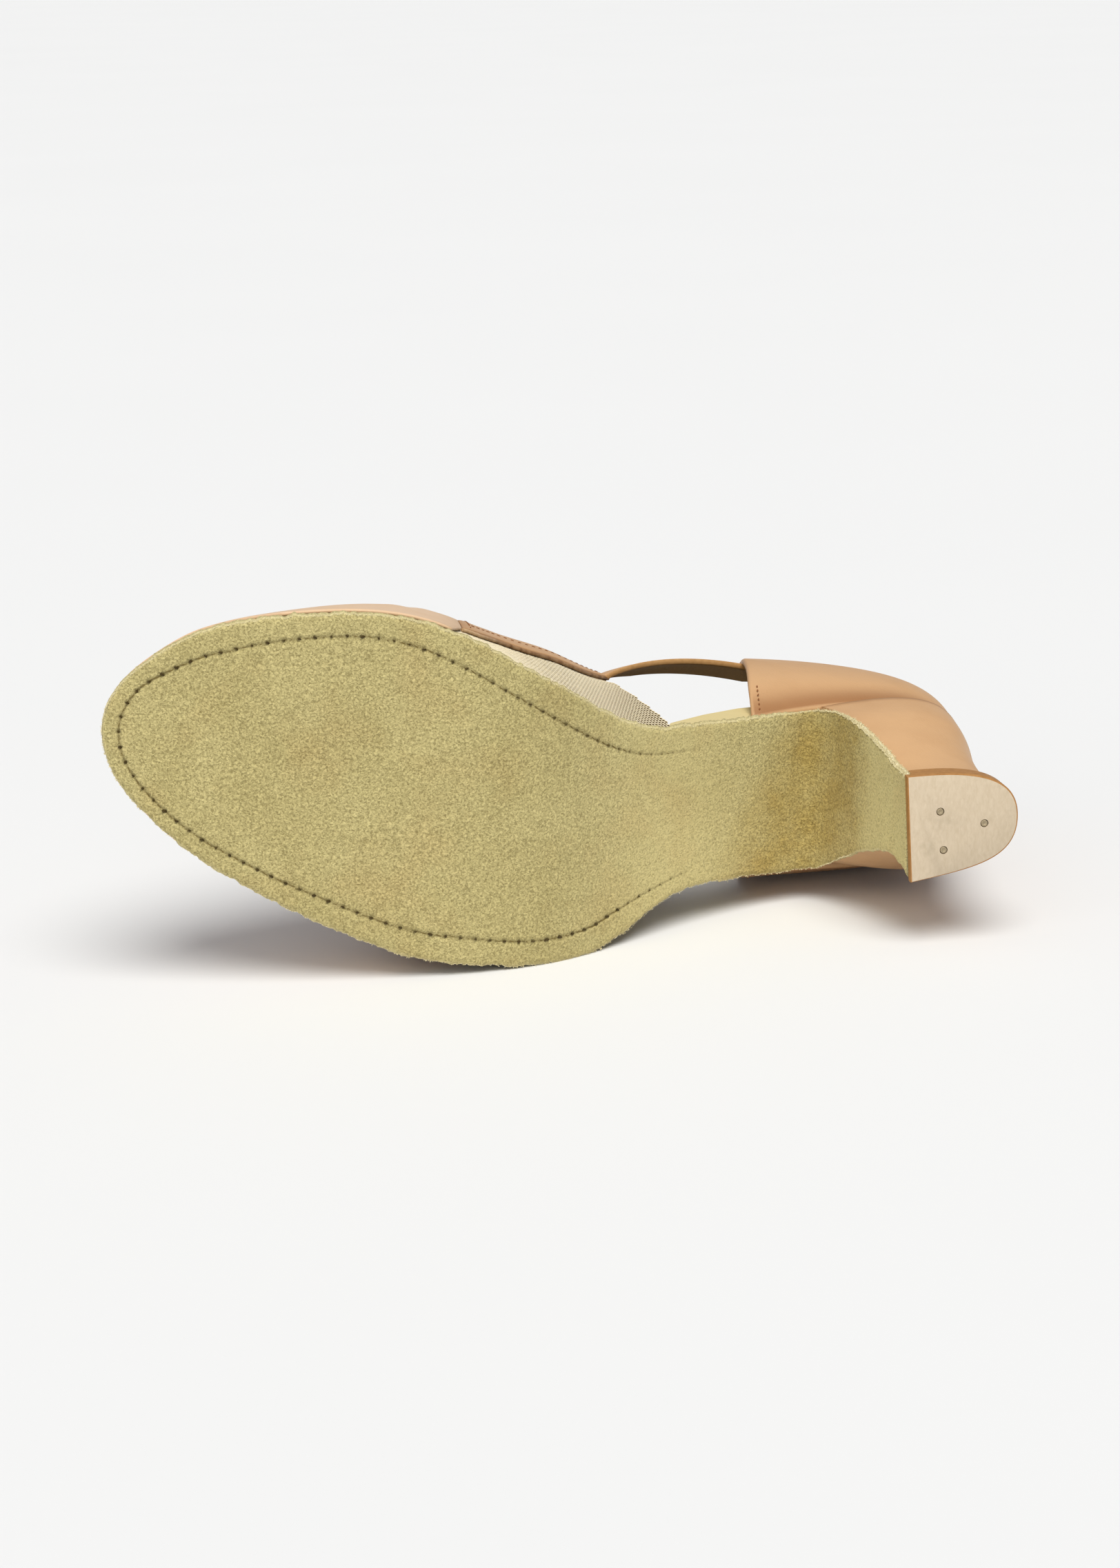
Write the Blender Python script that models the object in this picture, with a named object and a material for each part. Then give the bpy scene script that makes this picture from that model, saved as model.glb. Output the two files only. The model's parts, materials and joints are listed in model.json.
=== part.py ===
"""Character dance shoe for the right foot, lying on its outer side on the floor.

The shoe frame is in millimetres: X runs from the back of the heel to the toe, Y to the inner side of
the foot and Z up from the tread. An empty named "shoe" turns that frame until the shoe lies on the
floor, and every piece is its child.
"""
import math

import bmesh
import bpy
import numpy as np
from mathutils import Matrix, Vector, geometry

# Driving sizes
LENGTH = 222.8              # tip of the sole, from the back of the heel seat
TOE_ROUND = 24.0            # length over which the toe's outline closes
SOLE_THICK = 3.0
FEATHER_INSET = 2.6         # from the sole's edge to the last's bottom edge
GAP = 0.3                   # between neighbouring pieces
MESH_WALL = 1.2             # net and its backing
STRAP_WALL = 1.7
COUNTER_WALL = 1.9          # leather, stiffener and lining
WALL_FOOT = 8.0             # height over which the wall's thickness turns level at the feather edge
OVERLAY = 1.0               # toe cap and instep band
INSOLE_THICK = 2.0
LIFT_THICK = 6.0
LIFT_CORNERS = ((30.5, 14.6), (28.0, -11.9))
LIFT_SIDES = ((14.0, 16.5), (13.0, -8.5))
LIFT_BACK = ((2.1, 15.5), (2.1, -6.5))
LIFT_APEX = (2.1, 4.0)
NAIL_RADIUS = 1.1
NAIL_LENGTH = 4.0
NAIL_PLACES = ((21.7, 5.9), (10.5, 3.0), (20.3, -3.7))
NAIL_SUNK = 0.15
BREAST_INSET = 0.4          # from the suede's edge to the heel's front corner
HEEL_FULL = 12.5            # how far from its back the heel keeps its width
HEEL_SIDE = 1.1             # how full its sides are
HEEL_SQUARE = 1.08          # how square its back corners are
INSOLE_PLAY = 0.5           # between the insole and the counter's wall
INSOLE_WAIST = 86.0         # where the insole's rim has faded out
FOOT_MIDDLE = (110, 4, 38)
COUNTER_FRONT_HEIGHT = 50.0
COUNTER_BACK_HEIGHT = 52.0
STRAP_FROM = 0.78           # share of the counter's height where the strap starts
STRAP_BOW = (2.4, 0.4)      # how far the strap bows out, inner and outer side

# Grid sizes, and the grid lines that carry a design line
ACROSS = 30                 # lines over the instep, from inner to outer feather edge
BAND_LINE = 6               # line along the instep band's lower edge
STRAP_LINES = 3             # faces in a strap's width
TO_SEAM = 12                # faces from the throat to the toe cap's seam
TO_TIP = 12                 # faces from the seam to the tip
COUNTER_LEVELS = 7          # faces up the counter, below the strap
COUNTER_HALF = 15           # faces from the counter's front edge to its back
STRAP_LENGTH_FACES = 7
SOLE_ACROSS = 12
SOLE_ROWS = 24
TOE_ROWS = 8
INSOLE_ACROSS = 12
INSOLE_ROWS = (12, 10, 16, 7)   # faces along the heel, waist, forefoot and toe
EDGE_SAMPLES = 40           # points on the heel's curve when the insole follows it
HEEL_HALF = 14
LIFT_ARC = 12
NAIL_SIDES = 16

DENSITY = {"suede": 0.85, "board": 0.7, "leather": 0.95, "heel": 0.75, "lift": 1.1, "steel": 7.8}


def spline(knots, values):
    """Natural cubic spline through a table's column."""
    step = np.diff(knots)
    slope = np.diff(values) / step
    count = len(knots)
    matrix = np.eye(count)
    right = np.zeros(count)
    for i in range(1, count - 1):
        matrix[i, i - 1:i + 2] = step[i - 1], 2 * (step[i - 1] + step[i]), step[i]
        right[i] = 6 * (slope[i] - slope[i - 1])
    bend = np.linalg.solve(matrix, right)

    def at(x):
        i = int(np.clip(np.searchsorted(knots, x) - 1, 0, count - 2))
        a = (knots[i + 1] - x) / step[i]
        b = 1 - a
        curve = (a ** 3 - a) * bend[i] + (b ** 3 - b) * bend[i + 1]
        return a * values[i] + b * values[i + 1] + curve * step[i] ** 2 / 6

    return at


def columns(names, *rows):
    """A spline for each named column of a table, over its first column."""
    grid = np.array(rows, float)
    keys = names.split()
    return {key: spline(grid[:, 0], grid[:, i]) for i, key in enumerate(keys) if i}


def lines(names, *rows):
    """Straight runs for each named column of a table, over its first column."""
    grid = np.array(rows, float)
    keys = names.split()
    return {key: (lambda x, i=i: float(np.interp(x, grid[:, 0], grid[:, i])))
            for i, key in enumerate(keys) if i}


# The sole's outline; past the start of the toe's rounding the widths are those of the blunt toe
OUTLINE = columns(
    "x medial lateral",
    (42, 21.4, -19.9),
    (56, 21.0, -20.1),
    (70, 21.0, -20.0),
    (80, 21.3, -21.0),
    (90, 22.3, -25.4),
    (100, 26.4, -30.7),
    (110, 32.5, -32.6),
    (122, 39.6, -32.9),
    (136, 47.5, -31.7),
    (150, 52.6, -29.5),
    (165, 54.2, -24.0),
    (180, 53.3, -17.2),
    (196, 50.1, -8.4),
    (210, 45.4, -0.8),
    (223, 44.2, 3.0),
)

# Underside of the sole from the side; below zero it is cut flat, which gives the tread its flat spot
RISE = columns(
    "x rise",
    (-6, 53.6),
    (20, 50.4),
    (42, 45.6),
    (56, 39.9),
    (70, 32.5),
    (85, 23.0),
    (100, 13.2),
    (115, 5.2),
    (130, 1.2),
    (145, -0.3),
    (165, -0.3),
    (180, 0.5),
    (200, 2.6),
    (223, 7.6),
)

# The suede where it bends down over the heel's breast: what shows of it
FLAP = columns(
    "row x z medial lateral",
    (0, 58.0, 38.9, 21.0, -20.0),
    (1, 51.0, 41.9, 21.2, -20.2),
    (2, 45.8, 42.9, 21.7, -19.9),
    (3, 41.9, 41.1, 22.2, -18.8),
    (4, 39.0, 36.4, 22.3, -16.2),
    (5, 36.2, 29.2, 21.0, -12.2),
    (6, 33.8, 20.8, 18.8, -8.9),
    (7, 31.9, 12.4, 16.1, -7.2),
    (8, 30.6, 6.3, 14.6, -8.6),
)
FLAP_ROWS = 8
FLAP_CORNER = 3             # row where the sole's hidden side turns down at the heel's front edge

# The hidden side of the same rows: a sharp corner where heel and insole meet, and its trimmed edge
FLAP_BACK = lines(
    "row x z trim",
    (0, 58.0, 41.9, 0.0),
    (1, 51.0, 45.1, 0.4),
    (2, 46.0, 47.1, 1.2),
    (3, 41.2, 48.6, 2.0),
    (4, 37.4, 37.0, 0.6),
    (5, 34.6, 29.8, 0.0),
    (6, 32.2, 21.3, 0.0),
    (7, 30.3, 12.8, 0.0),
    (8, 29.0, 6.3, 0.0),
)

# The heel block at the same rows: half widths at its sides, and its back edge
HEEL = columns(
    "row side_medial side_lateral back_x back_z",
    (3, 23.0, -21.9, 0.2, 56.0),
    (4, 21.6, -19.6, 1.4, 43.0),
    (5, 19.4, -16.4, 2.9, 34.0),
    (6, 17.0, -13.6, 3.9, 23.5),
    (7, 15.2, -11.4, 3.8, 13.5),
    (8, 14.4, -9.6, 2.9, 6.3),
)

# Inside of the vamp: its ridge, how far each wall leans out and how high, and how square its shoulder is
VAMP = columns(
    "x ridge_y ridge_z lean_medial rise_medial round_medial lean_lateral rise_lateral round_lateral",
    (80, 11.0, 95.0, 5.0, 0.95, 1.10, 5.0, 0.62, 0.60),
    (95, 14.0, 85.5, 5.0, 0.95, 1.10, 5.0, 0.62, 0.60),
    (110, 19.0, 75.0, 3.5, 0.95, 1.10, 3.5, 0.62, 0.65),
    (125, 24.0, 64.0, -1.5, 0.90, 1.05, 4.5, 0.62, 0.70),
    (140, 27.0, 54.0, -2.5, 0.82, 0.95, 7.0, 0.62, 0.80),
    (155, 28.0, 46.0, -2.5, 0.76, 0.85, 8.0, 0.62, 0.80),
    (170, 27.5, 39.5, -2.5, 0.72, 0.76, 7.0, 0.62, 0.75),
    (185, 26.0, 33.5, -3.0, 0.70, 0.66, 5.0, 0.62, 0.70),
    (200, 24.5, 28.0, -3.0, 0.70, 0.60, 3.0, 0.62, 0.65),
    (222, 23.6, 22.0, -2.0, 0.70, 0.60, 2.0, 0.62, 0.60),
)

# Lower edge of the instep band on each side, as a share of the way from feather edge to feather edge
BAND_EDGE = columns(
    "x share",
    (84, 0.235),
    (94, 0.19),
    (101, 0.14),
    (110, 0.10),
    (118, 0.082),
    (127, 0.068),
    (135, 0.035),
    (142, 0.022),
    (170, 0.06),
    (200, 0.13),
    (222, 0.16),
)

# Rear edge of the vamp and the toe cap's seam, by the same grid lines
VAMP_ENDS = columns(
    "line rear seam",
    (0.0, 84.0, 142.0),
    (0.2, 93.5, 138.0),
    (0.3, 95.5, 136.0),
    (0.5, 98.0, 137.0),
    (0.7, 95.5, 143.0),
    (0.8, 93.5, 147.0),
    (1.0, 86.0, 151.0),
)

# Inside of the counter at shares of its height
COUNTER = columns(
    "height front_x front_medial front_lateral side_medial side_lateral back_x full",
    (0.0, 61.0, 19.4, -18.4, 20.4, -19.4, 2.2, 1.05),
    (0.2, 60.0, 24.4, -22.2, 22.3, -22.4, 0.0, 0.98),
    (0.4, 58.3, 26.6, -23.8, 22.2, -24.2, -1.4, 0.94),
    (0.6, 56.6, 26.6, -23.2, 20.8, -23.3, -1.4, 0.92),
    (0.8, 54.9, 25.2, -20.6, 18.8, -20.8, -0.4, 0.88),
    (1.0, 53.0, 22.4, -16.8, 17.0, -17.2, 1.8, 0.85),
)

# The insole's inset from the sole's edge, and how high its rim curls up
INSOLE = lines(
    "x inset curl",
    (-6, 3.4, 7.0),
    (61.4, 2.2, 9.5),
    (63.2, 0.6, 9.0),
    (72, 0.8, 5.0),
    (82, 3.4, 0.8),
    (88, 3.4, 0.0),
    (223, 3.4, 0.0),
)
INSOLE_CURL_FROM = 0.72     # share of the half width where the rim starts to rise
INSOLE_CURL = 1.5           # how sharply it rises


def underside(x):
    return max(0.0, RISE["rise"](x))


def bed(x):
    """Top of the sole and of the heel, which the insole and the upper stand on."""
    return underside(x) + SOLE_THICK


def toe_rounding(x, tip):
    """1 up to the toe's rounding, then a quarter ellipse that closes at the tip."""
    start = LENGTH - TOE_ROUND
    share = min(1.0, max(0.0, (x - start) / (tip - start)))
    return math.sqrt(1 - share ** 2)


def sole_edges(x, inset=0.0):
    """Inner and outer edge of the sole, moved in by inset."""
    medial = OUTLINE["medial"](x)
    lateral = OUTLINE["lateral"](x)
    middle = (medial + lateral) / 2
    half = ((medial - lateral) / 2 - inset) * toe_rounding(x, LENGTH - inset)
    return middle + half, middle - half


def bezier(points, t):
    weights = ((1 - t) ** 3, 3 * t * (1 - t) ** 2, 3 * t ** 2 * (1 - t), t ** 3)
    return sum(w * np.array(p, float) for w, p in zip(weights, points))


def toe_spacing(start, end, count):
    """Stations from start to a round end, closer together towards the end."""
    return [start + (end - start) * math.sin(math.pi / 2 * i / count) for i in range(count + 1)]


class Sheet:
    """A surface of shared points; each grid added to it joins the others where its points agree."""

    def __init__(self):
        self.points = []
        self.places = {}
        self.faces = []

    def point(self, place):
        place = Vector(place)
        key = tuple(round(c, 3) for c in place)
        if key not in self.places:
            self.places[key] = len(self.points)
            self.points.append(place)
        return self.places[key]

    def grid(self, rows):
        """Faces between rows of points; faces whose corners fall together become triangles."""
        index = [[self.point(p) for p in row] for row in rows]
        for low, high in zip(index, index[1:]):
            for i in range(len(low) - 1):
                corners = []
                for corner in (low[i], low[i + 1], high[i + 1], high[i]):
                    if corner not in corners:
                        corners.append(corner)
                if len(corners) > 2:
                    self.faces.append(corners)
        return index

    def normals(self, inside):
        """Point normals, all facing away from a place inside."""
        mesh = bmesh.new()
        verts = [mesh.verts.new(p) for p in self.points]
        for face in self.faces:
            mesh.faces.new([verts[i] for i in face])
        bmesh.ops.recalc_face_normals(mesh, faces=mesh.faces)
        mesh.normal_update()
        away = sum(f.normal.dot(f.calc_center_median() - Vector(inside)) for f in mesh.faces)
        sign = 1 if away > 0 else -1
        result = [v.normal * sign for v in verts]
        mesh.free()
        return result


def solid(name, faces, side_a, side_b, material, root):
    """Closed solid between two positions of one surface, with a rim along its open edges."""
    mesh = bmesh.new()
    used = sorted({i for f in faces for i in f})
    verts_a = {i: mesh.verts.new(side_a[i]) for i in used}
    verts_b = {i: mesh.verts.new(side_b[i]) for i in used}
    edges = {}
    for face in faces:
        mesh.faces.new([verts_a[i] for i in face])
        mesh.faces.new([verts_b[i] for i in reversed(face)])
        for a, b in zip(face, face[1:] + face[:1]):
            edges.setdefault(frozenset((a, b)), []).append((a, b))
    for uses in edges.values():
        if len(uses) == 1:
            a, b = uses[0]
            mesh.faces.new([verts_a[b], verts_a[a], verts_b[a], verts_b[b]])
    return finish(name, mesh, material, root)


def finish(name, mesh, material, root):
    """Turn a closed bmesh into a named child of the shoe, with faces out."""
    bmesh.ops.triangulate(mesh, faces=mesh.faces)
    bmesh.ops.recalc_face_normals(mesh, faces=mesh.faces)
    if mesh.calc_volume(signed=True) < 0:
        bmesh.ops.reverse_faces(mesh, faces=mesh.faces)
    bmesh.ops.scale(mesh, vec=(0.001, 0.001, 0.001), verts=mesh.verts)
    data = bpy.data.meshes.new(name)
    mesh.to_mesh(data)
    mesh.free()
    data.shade_smooth()
    data.set_sharp_from_angle(angle=math.radians(40))
    data.materials.append(material)
    piece = bpy.data.objects.new(name, data)
    bpy.context.collection.objects.link(piece)
    piece.parent = root
    return piece


def material(name, colour, roughness, metallic=0.0):
    made = bpy.data.materials.new(name)
    made.use_nodes = True
    shader = made.node_tree.nodes["Principled BSDF"]
    channels = [int(colour[i:i + 2], 16) / 255 for i in (0, 2, 4)]
    shader.inputs["Base Color"].default_value = [c ** 2.2 for c in channels] + [1]
    shader.inputs["Roughness"].default_value = roughness
    shader.inputs["Metallic"].default_value = metallic
    return made


def shares(count):
    return [i / count for i in range(count + 1)]


def vamp_point(x, share):
    """Inside of the vamp at x, from inner feather edge (0) over the ridge (0.5) to the outer (1)."""
    medial, lateral = sole_edges(x, FEATHER_INSET)
    rounding = toe_rounding(x, LENGTH - FEATHER_INSET)
    low = bed(x) + GAP
    middle = (medial + lateral) / 2
    ridge_y = middle + (VAMP["ridge_y"](x) - middle) * rounding
    ridge_z = low + (VAMP["ridge_z"](x) - low) * rounding
    inner = share <= 0.5
    side = "medial" if inner else "lateral"
    foot_y = medial if inner else lateral
    lean = VAMP["lean_" + side](x) * rounding * (1 if inner else -1)
    rise = VAMP["rise_" + side](x) * (ridge_z - low)
    shoulder = ridge_y + VAMP["round_" + side](x) * (foot_y - ridge_y)
    handles = ((foot_y, low), (foot_y + lean, low + rise), (shoulder, ridge_z), (ridge_y, ridge_z))
    y, z = bezier(handles, 2 * share if inner else 2 - 2 * share)
    return x, y, z


def band_share(x, line):
    """Share of the section at a grid line, so that BAND_LINE runs along the band's lower edge."""
    edge = BAND_EDGE["share"](x)
    mark = BAND_LINE / ACROSS
    mirrored = min(line, 1 - line)
    if mirrored <= mark:
        share = edge * mirrored / mark
    else:
        share = edge + (0.5 - edge) * (mirrored - mark) / (0.5 - mark)
    return share if line <= 0.5 else 1 - share


def vamp_rows():
    """Rows of points over the instep, from the throat to the tip of the toe."""
    tip = LENGTH - FEATHER_INSET
    tracks = []
    for line in shares(ACROSS):
        rear = VAMP_ENDS["rear"](line)
        seam = VAMP_ENDS["seam"](line)
        stations = [rear + (seam - rear) * s for s in shares(TO_SEAM)]
        stations += toe_spacing(seam, tip, TO_TIP)[1:]
        tracks.append([vamp_point(x, band_share(x, line)) for x in stations])
    return list(zip(*tracks))


def d_curve(front, side_y, back_x, full, count):
    """From a front corner along a rounded side to the middle of the back."""
    side = (back_x + HEEL_FULL, HEEL_SIDE * side_y)
    handles = (front, side, (back_x, full * side_y), (back_x, 0.0))
    return [bezier(handles, t) for t in shares(count)]


def counter_rows():
    """Rows of points round the heel, from the seat to the topline, inner front to outer front."""
    levels = [STRAP_FROM * s for s in shares(COUNTER_LEVELS)]
    levels += [STRAP_FROM + (1 - STRAP_FROM) * s for s in shares(STRAP_LINES)[1:]]
    rows = []
    for level in levels:
        at = {key: column(level) for key, column in COUNTER.items()}
        halves = []
        for side in ("medial", "lateral"):
            front = (at["front_x"], at["front_" + side])
            halves.append(d_curve(front, at["side_" + side], at["back_x"], at["full"], COUNTER_HALF))
        row = []
        for x, y in halves[0] + halves[1][-2::-1]:
            forward = max(0.0, min(1.0, x / COUNTER["front_x"](0)))
            height = COUNTER_BACK_HEIGHT + (COUNTER_FRONT_HEIGHT - COUNTER_BACK_HEIGHT) * forward
            row.append((x, y, bed(x) + GAP + level * height))
        rows.append(row)
    return rows


def strap_rows(vamp_end, counter_end, bow):
    """Rows of points from the band's end to the counter's front edge, bowed out in the middle."""
    rows = []
    for s in shares(STRAP_LENGTH_FACES):
        swell = Vector((0, bow * 4 * s * (1 - s), 0))
        rows.append([Vector(a) * (1 - s) + Vector(b) * s + swell for a, b in zip(vamp_end, counter_end)])
    return rows


def upper_sheet():
    """The whole upper's inside as one sheet, with its walls by point and its vamp grid."""
    sheet = Sheet()
    vamp = vamp_rows()
    counter = counter_rows()
    vamp_index = sheet.grid(vamp)
    counter_index = sheet.grid(counter)
    throat = vamp[0]
    low, high = BAND_LINE, BAND_LINE + STRAP_LINES
    top = counter[COUNTER_LEVELS:]
    inner = strap_rows(throat[low:high + 1], [row[0] for row in top], STRAP_BOW[0])
    outer_end = throat[ACROSS - high:ACROSS - low + 1][::-1]
    outer = strap_rows(outer_end, [row[-1] for row in top], -STRAP_BOW[1])
    strap_index = sheet.grid(inner) + sheet.grid(outer)
    walls = {}
    for index, wall in ((strap_index, STRAP_WALL), (counter_index, COUNTER_WALL), (vamp_index, MESH_WALL)):
        walls.update({i: wall for row in index for i in row})
    return sheet, walls, vamp_index


def near_bed(point):
    """1 on the feather edge, falling to 0 at the height where the wall is free of the bed."""
    return max(0.0, 1 - (point.z - bed(point.x) - GAP) / WALL_FOOT)


def outward(sheet):
    """Directions in which the wall grows; towards the feather edge they turn level with the bed."""
    directions = []
    for point, normal in zip(sheet.points, sheet.normals(FOOT_MIDDLE)):
        level = Vector((normal.x, normal.y, normal.z * (1 - near_bed(point))))
        directions.append(level.normalized())
    return directions


def offset(points, directions, distances):
    """Points moved out by their own distances; the feather edge follows the bed's slope."""
    moved = []
    for point, direction, distance in zip(points, directions, distances):
        place = point + direction * distance
        place.z += (bed(place.x) - bed(point.x)) * near_bed(point)
        moved.append(place)
    return moved


def drawn_back(points, row, previous):
    """The same points with one grid row pulled towards the row before it, to leave a gap."""
    moved = list(points)
    for i, j in zip(row, previous):
        moved[i] = points[i] + (points[j] - points[i]).normalized() * GAP
    return moved


def make_upper(looks, root):
    """Upper with its two overlays, which are offsets of the upper's own faces."""
    sheet, walls, vamp_index = upper_sheet()
    directions = outward(sheet)
    count = len(sheet.points)
    outside = offset(sheet.points, directions, [walls[i] for i in range(count)])
    solid("upper", sheet.faces, sheet.points, outside, looks["leather"], root)
    under = offset(sheet.points, directions, [MESH_WALL + GAP] * count)
    over = offset(sheet.points, directions, [MESH_WALL + GAP + OVERLAY] * count)
    cap = {i for row in vamp_index[TO_SEAM:] for i in row}
    cap_faces = [f for f in sheet.faces if cap.issuperset(f)]
    solid("toe_cap", cap_faces, under, over, looks["leather"], root)
    band = {i for row in vamp_index[:TO_SEAM + 1] for i in row[BAND_LINE:ACROSS - BAND_LINE + 1]}
    band_faces = [f for f in sheet.faces if band.issuperset(f)]
    seam, before = vamp_index[TO_SEAM], vamp_index[TO_SEAM - 1]
    under = drawn_back(under, seam, before)
    over = drawn_back(over, seam, before)
    solid("instep_band", band_faces, under, over, looks["leather"], root)


def across(lateral, medial, count):
    return [medial + (lateral - medial) * s for s in shares(count)]


def make_outsole(looks, root):
    """Suede sole from the toe to the waist, then down over the heel's breast."""
    shown, hidden = [], []
    for i in range(2 * FLAP_ROWS + 1):
        row = FLAP_ROWS - i / 2
        at = {key: column(row) for key, column in FLAP.items()}
        back = {key: column(row) for key, column in FLAP_BACK.items()}
        ys = across(at["lateral"], at["medial"], SOLE_ACROSS)
        shown.append([(at["x"], y, at["z"]) for y in ys])
        ys = across(at["lateral"] + back["trim"], at["medial"] - back["trim"], SOLE_ACROSS)
        hidden.append([(back["x"], y, back["z"]) for y in ys])
    start, bend = FLAP["x"](0), LENGTH - TOE_ROUND
    stations = [start + (bend - start) * s for s in shares(SOLE_ROWS)][1:]
    stations += toe_spacing(bend, LENGTH, TOE_ROWS)[1:]
    for x in stations:
        medial, lateral = sole_edges(x)
        ys = across(lateral, medial, SOLE_ACROSS)
        shown.append([(x, y, underside(x)) for y in ys])
        hidden.append([(x, y, bed(x)) for y in ys])
    sheet_solid("outsole", shown, hidden, looks["suede"], root)


def sheet_solid(name, low_rows, high_rows, look, root):
    """Solid between two grids of the same rows."""
    sheet = Sheet()
    low_index = sheet.grid(low_rows)
    high = {}
    for ids, row in zip(low_index, high_rows):
        high.update({i: Vector(p) for i, p in zip(ids, row)})
    return solid(name, sheet.faces, sheet.points, high, look, root)


def insole_edges(x):
    """Inside the counter's wall at the heel, otherwise in from the sole's edge."""
    if x >= COUNTER["front_x"](0):
        return sole_edges(x, INSOLE["inset"](x))
    edges = []
    for side in ("medial", "lateral"):
        front = (COUNTER["front_x"](0), COUNTER["front_" + side](0))
        back = COUNTER["back_x"](0) + INSOLE_PLAY
        curve = d_curve(front, COUNTER["side_" + side](0), back, COUNTER["full"](0), EDGE_SAMPLES)[::-1]
        edge = np.interp(x, [p[0] for p in curve], [p[1] for p in curve])
        edges.append(edge - math.copysign(min(INSOLE_PLAY, abs(edge)), edge))
    return edges


def make_insole(looks, root):
    """Footbed with a rim that rises round the heel and fades out along the waist."""
    back = COUNTER["back_x"](0) + INSOLE_PLAY
    turn = COUNTER["front_x"](0)
    bend, tip = LENGTH - TOE_ROUND, LENGTH - INSOLE["inset"](LENGTH)
    heel, waist, forefoot, toe = INSOLE_ROWS
    stations = toe_spacing(turn, back, heel)[:0:-1]
    stations += [turn + (INSOLE_WAIST - turn) * s for s in shares(waist)]
    stations += [INSOLE_WAIST + (bend - INSOLE_WAIST) * s for s in shares(forefoot)][1:]
    stations += toe_spacing(bend, tip, toe)[1:]
    low_rows, high_rows = [], []
    for x in stations:
        medial, lateral = insole_edges(x)
        low, high = [], []
        for s in shares(INSOLE_ACROSS):
            y = medial + (lateral - medial) * s
            reach = max(0.0, abs(2 * s - 1) - INSOLE_CURL_FROM) / (1 - INSOLE_CURL_FROM)
            rim = INSOLE["curl"](x) * reach ** INSOLE_CURL
            low.append((x, y, bed(x) + GAP))
            high.append((x, y, bed(x) + GAP + INSOLE_THICK + rim))
        low_rows.append(low)
        high_rows.append(high)
    sheet_solid("insole", low_rows, high_rows, looks["board"], root)


def heel_ring(row):
    """Outline of the heel block at one row: front corners and curves, inner then outer side."""
    at = {key: column(row) for key, column in HEEL.items()}
    front_x = FLAP_BACK["x"](row) - GAP
    front_z = FLAP_BACK["z"](row)
    sides = []
    for side, sign in (("medial", 1), ("lateral", -1)):
        corner = (front_x, FLAP[side](row) - sign * BREAST_INSET)
        curve = d_curve(corner, at["side_" + side], at["back_x"], HEEL_SQUARE, HEEL_HALF)
        placed = []
        for x, y in curve:
            share = (front_x - x) / (front_x - at["back_x"])
            level = bed(x) if row == FLAP_CORNER else front_z + (at["back_z"] - front_z) * share
            placed.append((x, y, min(level, bed(x))))
        sides.append(placed)
    return sides


def make_heel(looks, root):
    """Leather-covered heel block, lofted from the seat down to the lift."""
    mesh = bmesh.new()
    rings = []
    steps = 2 * (FLAP_ROWS - FLAP_CORNER)
    for i in range(steps + 1):
        medial, lateral = heel_ring(FLAP_CORNER + i / 2)
        inner = [mesh.verts.new(p) for p in medial]
        outer = [mesh.verts.new(p) for p in lateral[:-1]] + [inner[-1]]
        rings.append((inner, outer))
    for upper_ring, lower_ring in zip(rings, rings[1:]):
        for high, low in zip(upper_ring, lower_ring):
            for k in range(HEEL_HALF):
                mesh.faces.new((high[k], high[k + 1], low[k + 1], low[k]))
        mesh.faces.new((upper_ring[0][0], upper_ring[1][0], lower_ring[1][0], lower_ring[0][0]))
    for inner, outer in (rings[0], rings[-1]):
        for k in range(HEEL_HALF - 1):
            mesh.faces.new((inner[k], inner[k + 1], outer[k + 1], outer[k]))
        mesh.faces.new((inner[-2], inner[-1], outer[-2]))
    finish("heel", mesh, looks["heel"], root)


def lift_outline():
    """D outline of the lift: a curve from each front corner to the middle of the back."""
    inner, outer = ([bezier((corner, side, back, LIFT_APEX), s) for s in shares(LIFT_ARC)]
                    for corner, side, back in zip(LIFT_CORNERS, LIFT_SIDES, LIFT_BACK))
    return inner + outer[-2::-1]


def make_lift(looks, root):
    """Top piece of the heel, with three blind holes for its nails."""
    mesh = bmesh.new()
    base = mesh.faces.new([mesh.verts.new((x, y, 0)) for x, y in lift_outline()])
    grown = bmesh.ops.extrude_face_region(mesh, geom=[base])["geom"]
    raised = [v for v in grown if isinstance(v, bmesh.types.BMVert)]
    bmesh.ops.translate(mesh, vec=(0, 0, LIFT_THICK), verts=raised)
    lift = finish("heel_lift", mesh, looks["lift"], root)
    cutters = bmesh.new()
    for x, y in NAIL_PLACES:
        hole = Matrix.Translation((x, y, (NAIL_LENGTH + GAP) / 2 - 1))
        bmesh.ops.create_cone(cutters, cap_ends=True, segments=NAIL_SIDES, radius1=NAIL_RADIUS + GAP,
                              radius2=NAIL_RADIUS + GAP, depth=NAIL_LENGTH + GAP + 2, matrix=hole)
    holes = finish("lift_holes", cutters, looks["lift"], root)
    holes.hide_render = True
    holes.display_type = "WIRE"
    cut = lift.modifiers.new("nail holes", "BOOLEAN")
    cut.object = holes


def make_nails(looks, root):
    for number, (x, y) in enumerate(NAIL_PLACES, 1):
        mesh = bmesh.new()
        place = Matrix.Translation((x, y, NAIL_LENGTH / 2 + NAIL_SUNK))
        bmesh.ops.create_cone(mesh, cap_ends=True, segments=NAIL_SIDES, radius1=NAIL_RADIUS,
                              radius2=NAIL_RADIUS, depth=NAIL_LENGTH - NAIL_SUNK, matrix=place)
        finish(f"lift_nail_{number}", mesh, looks["steel"], root)


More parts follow.
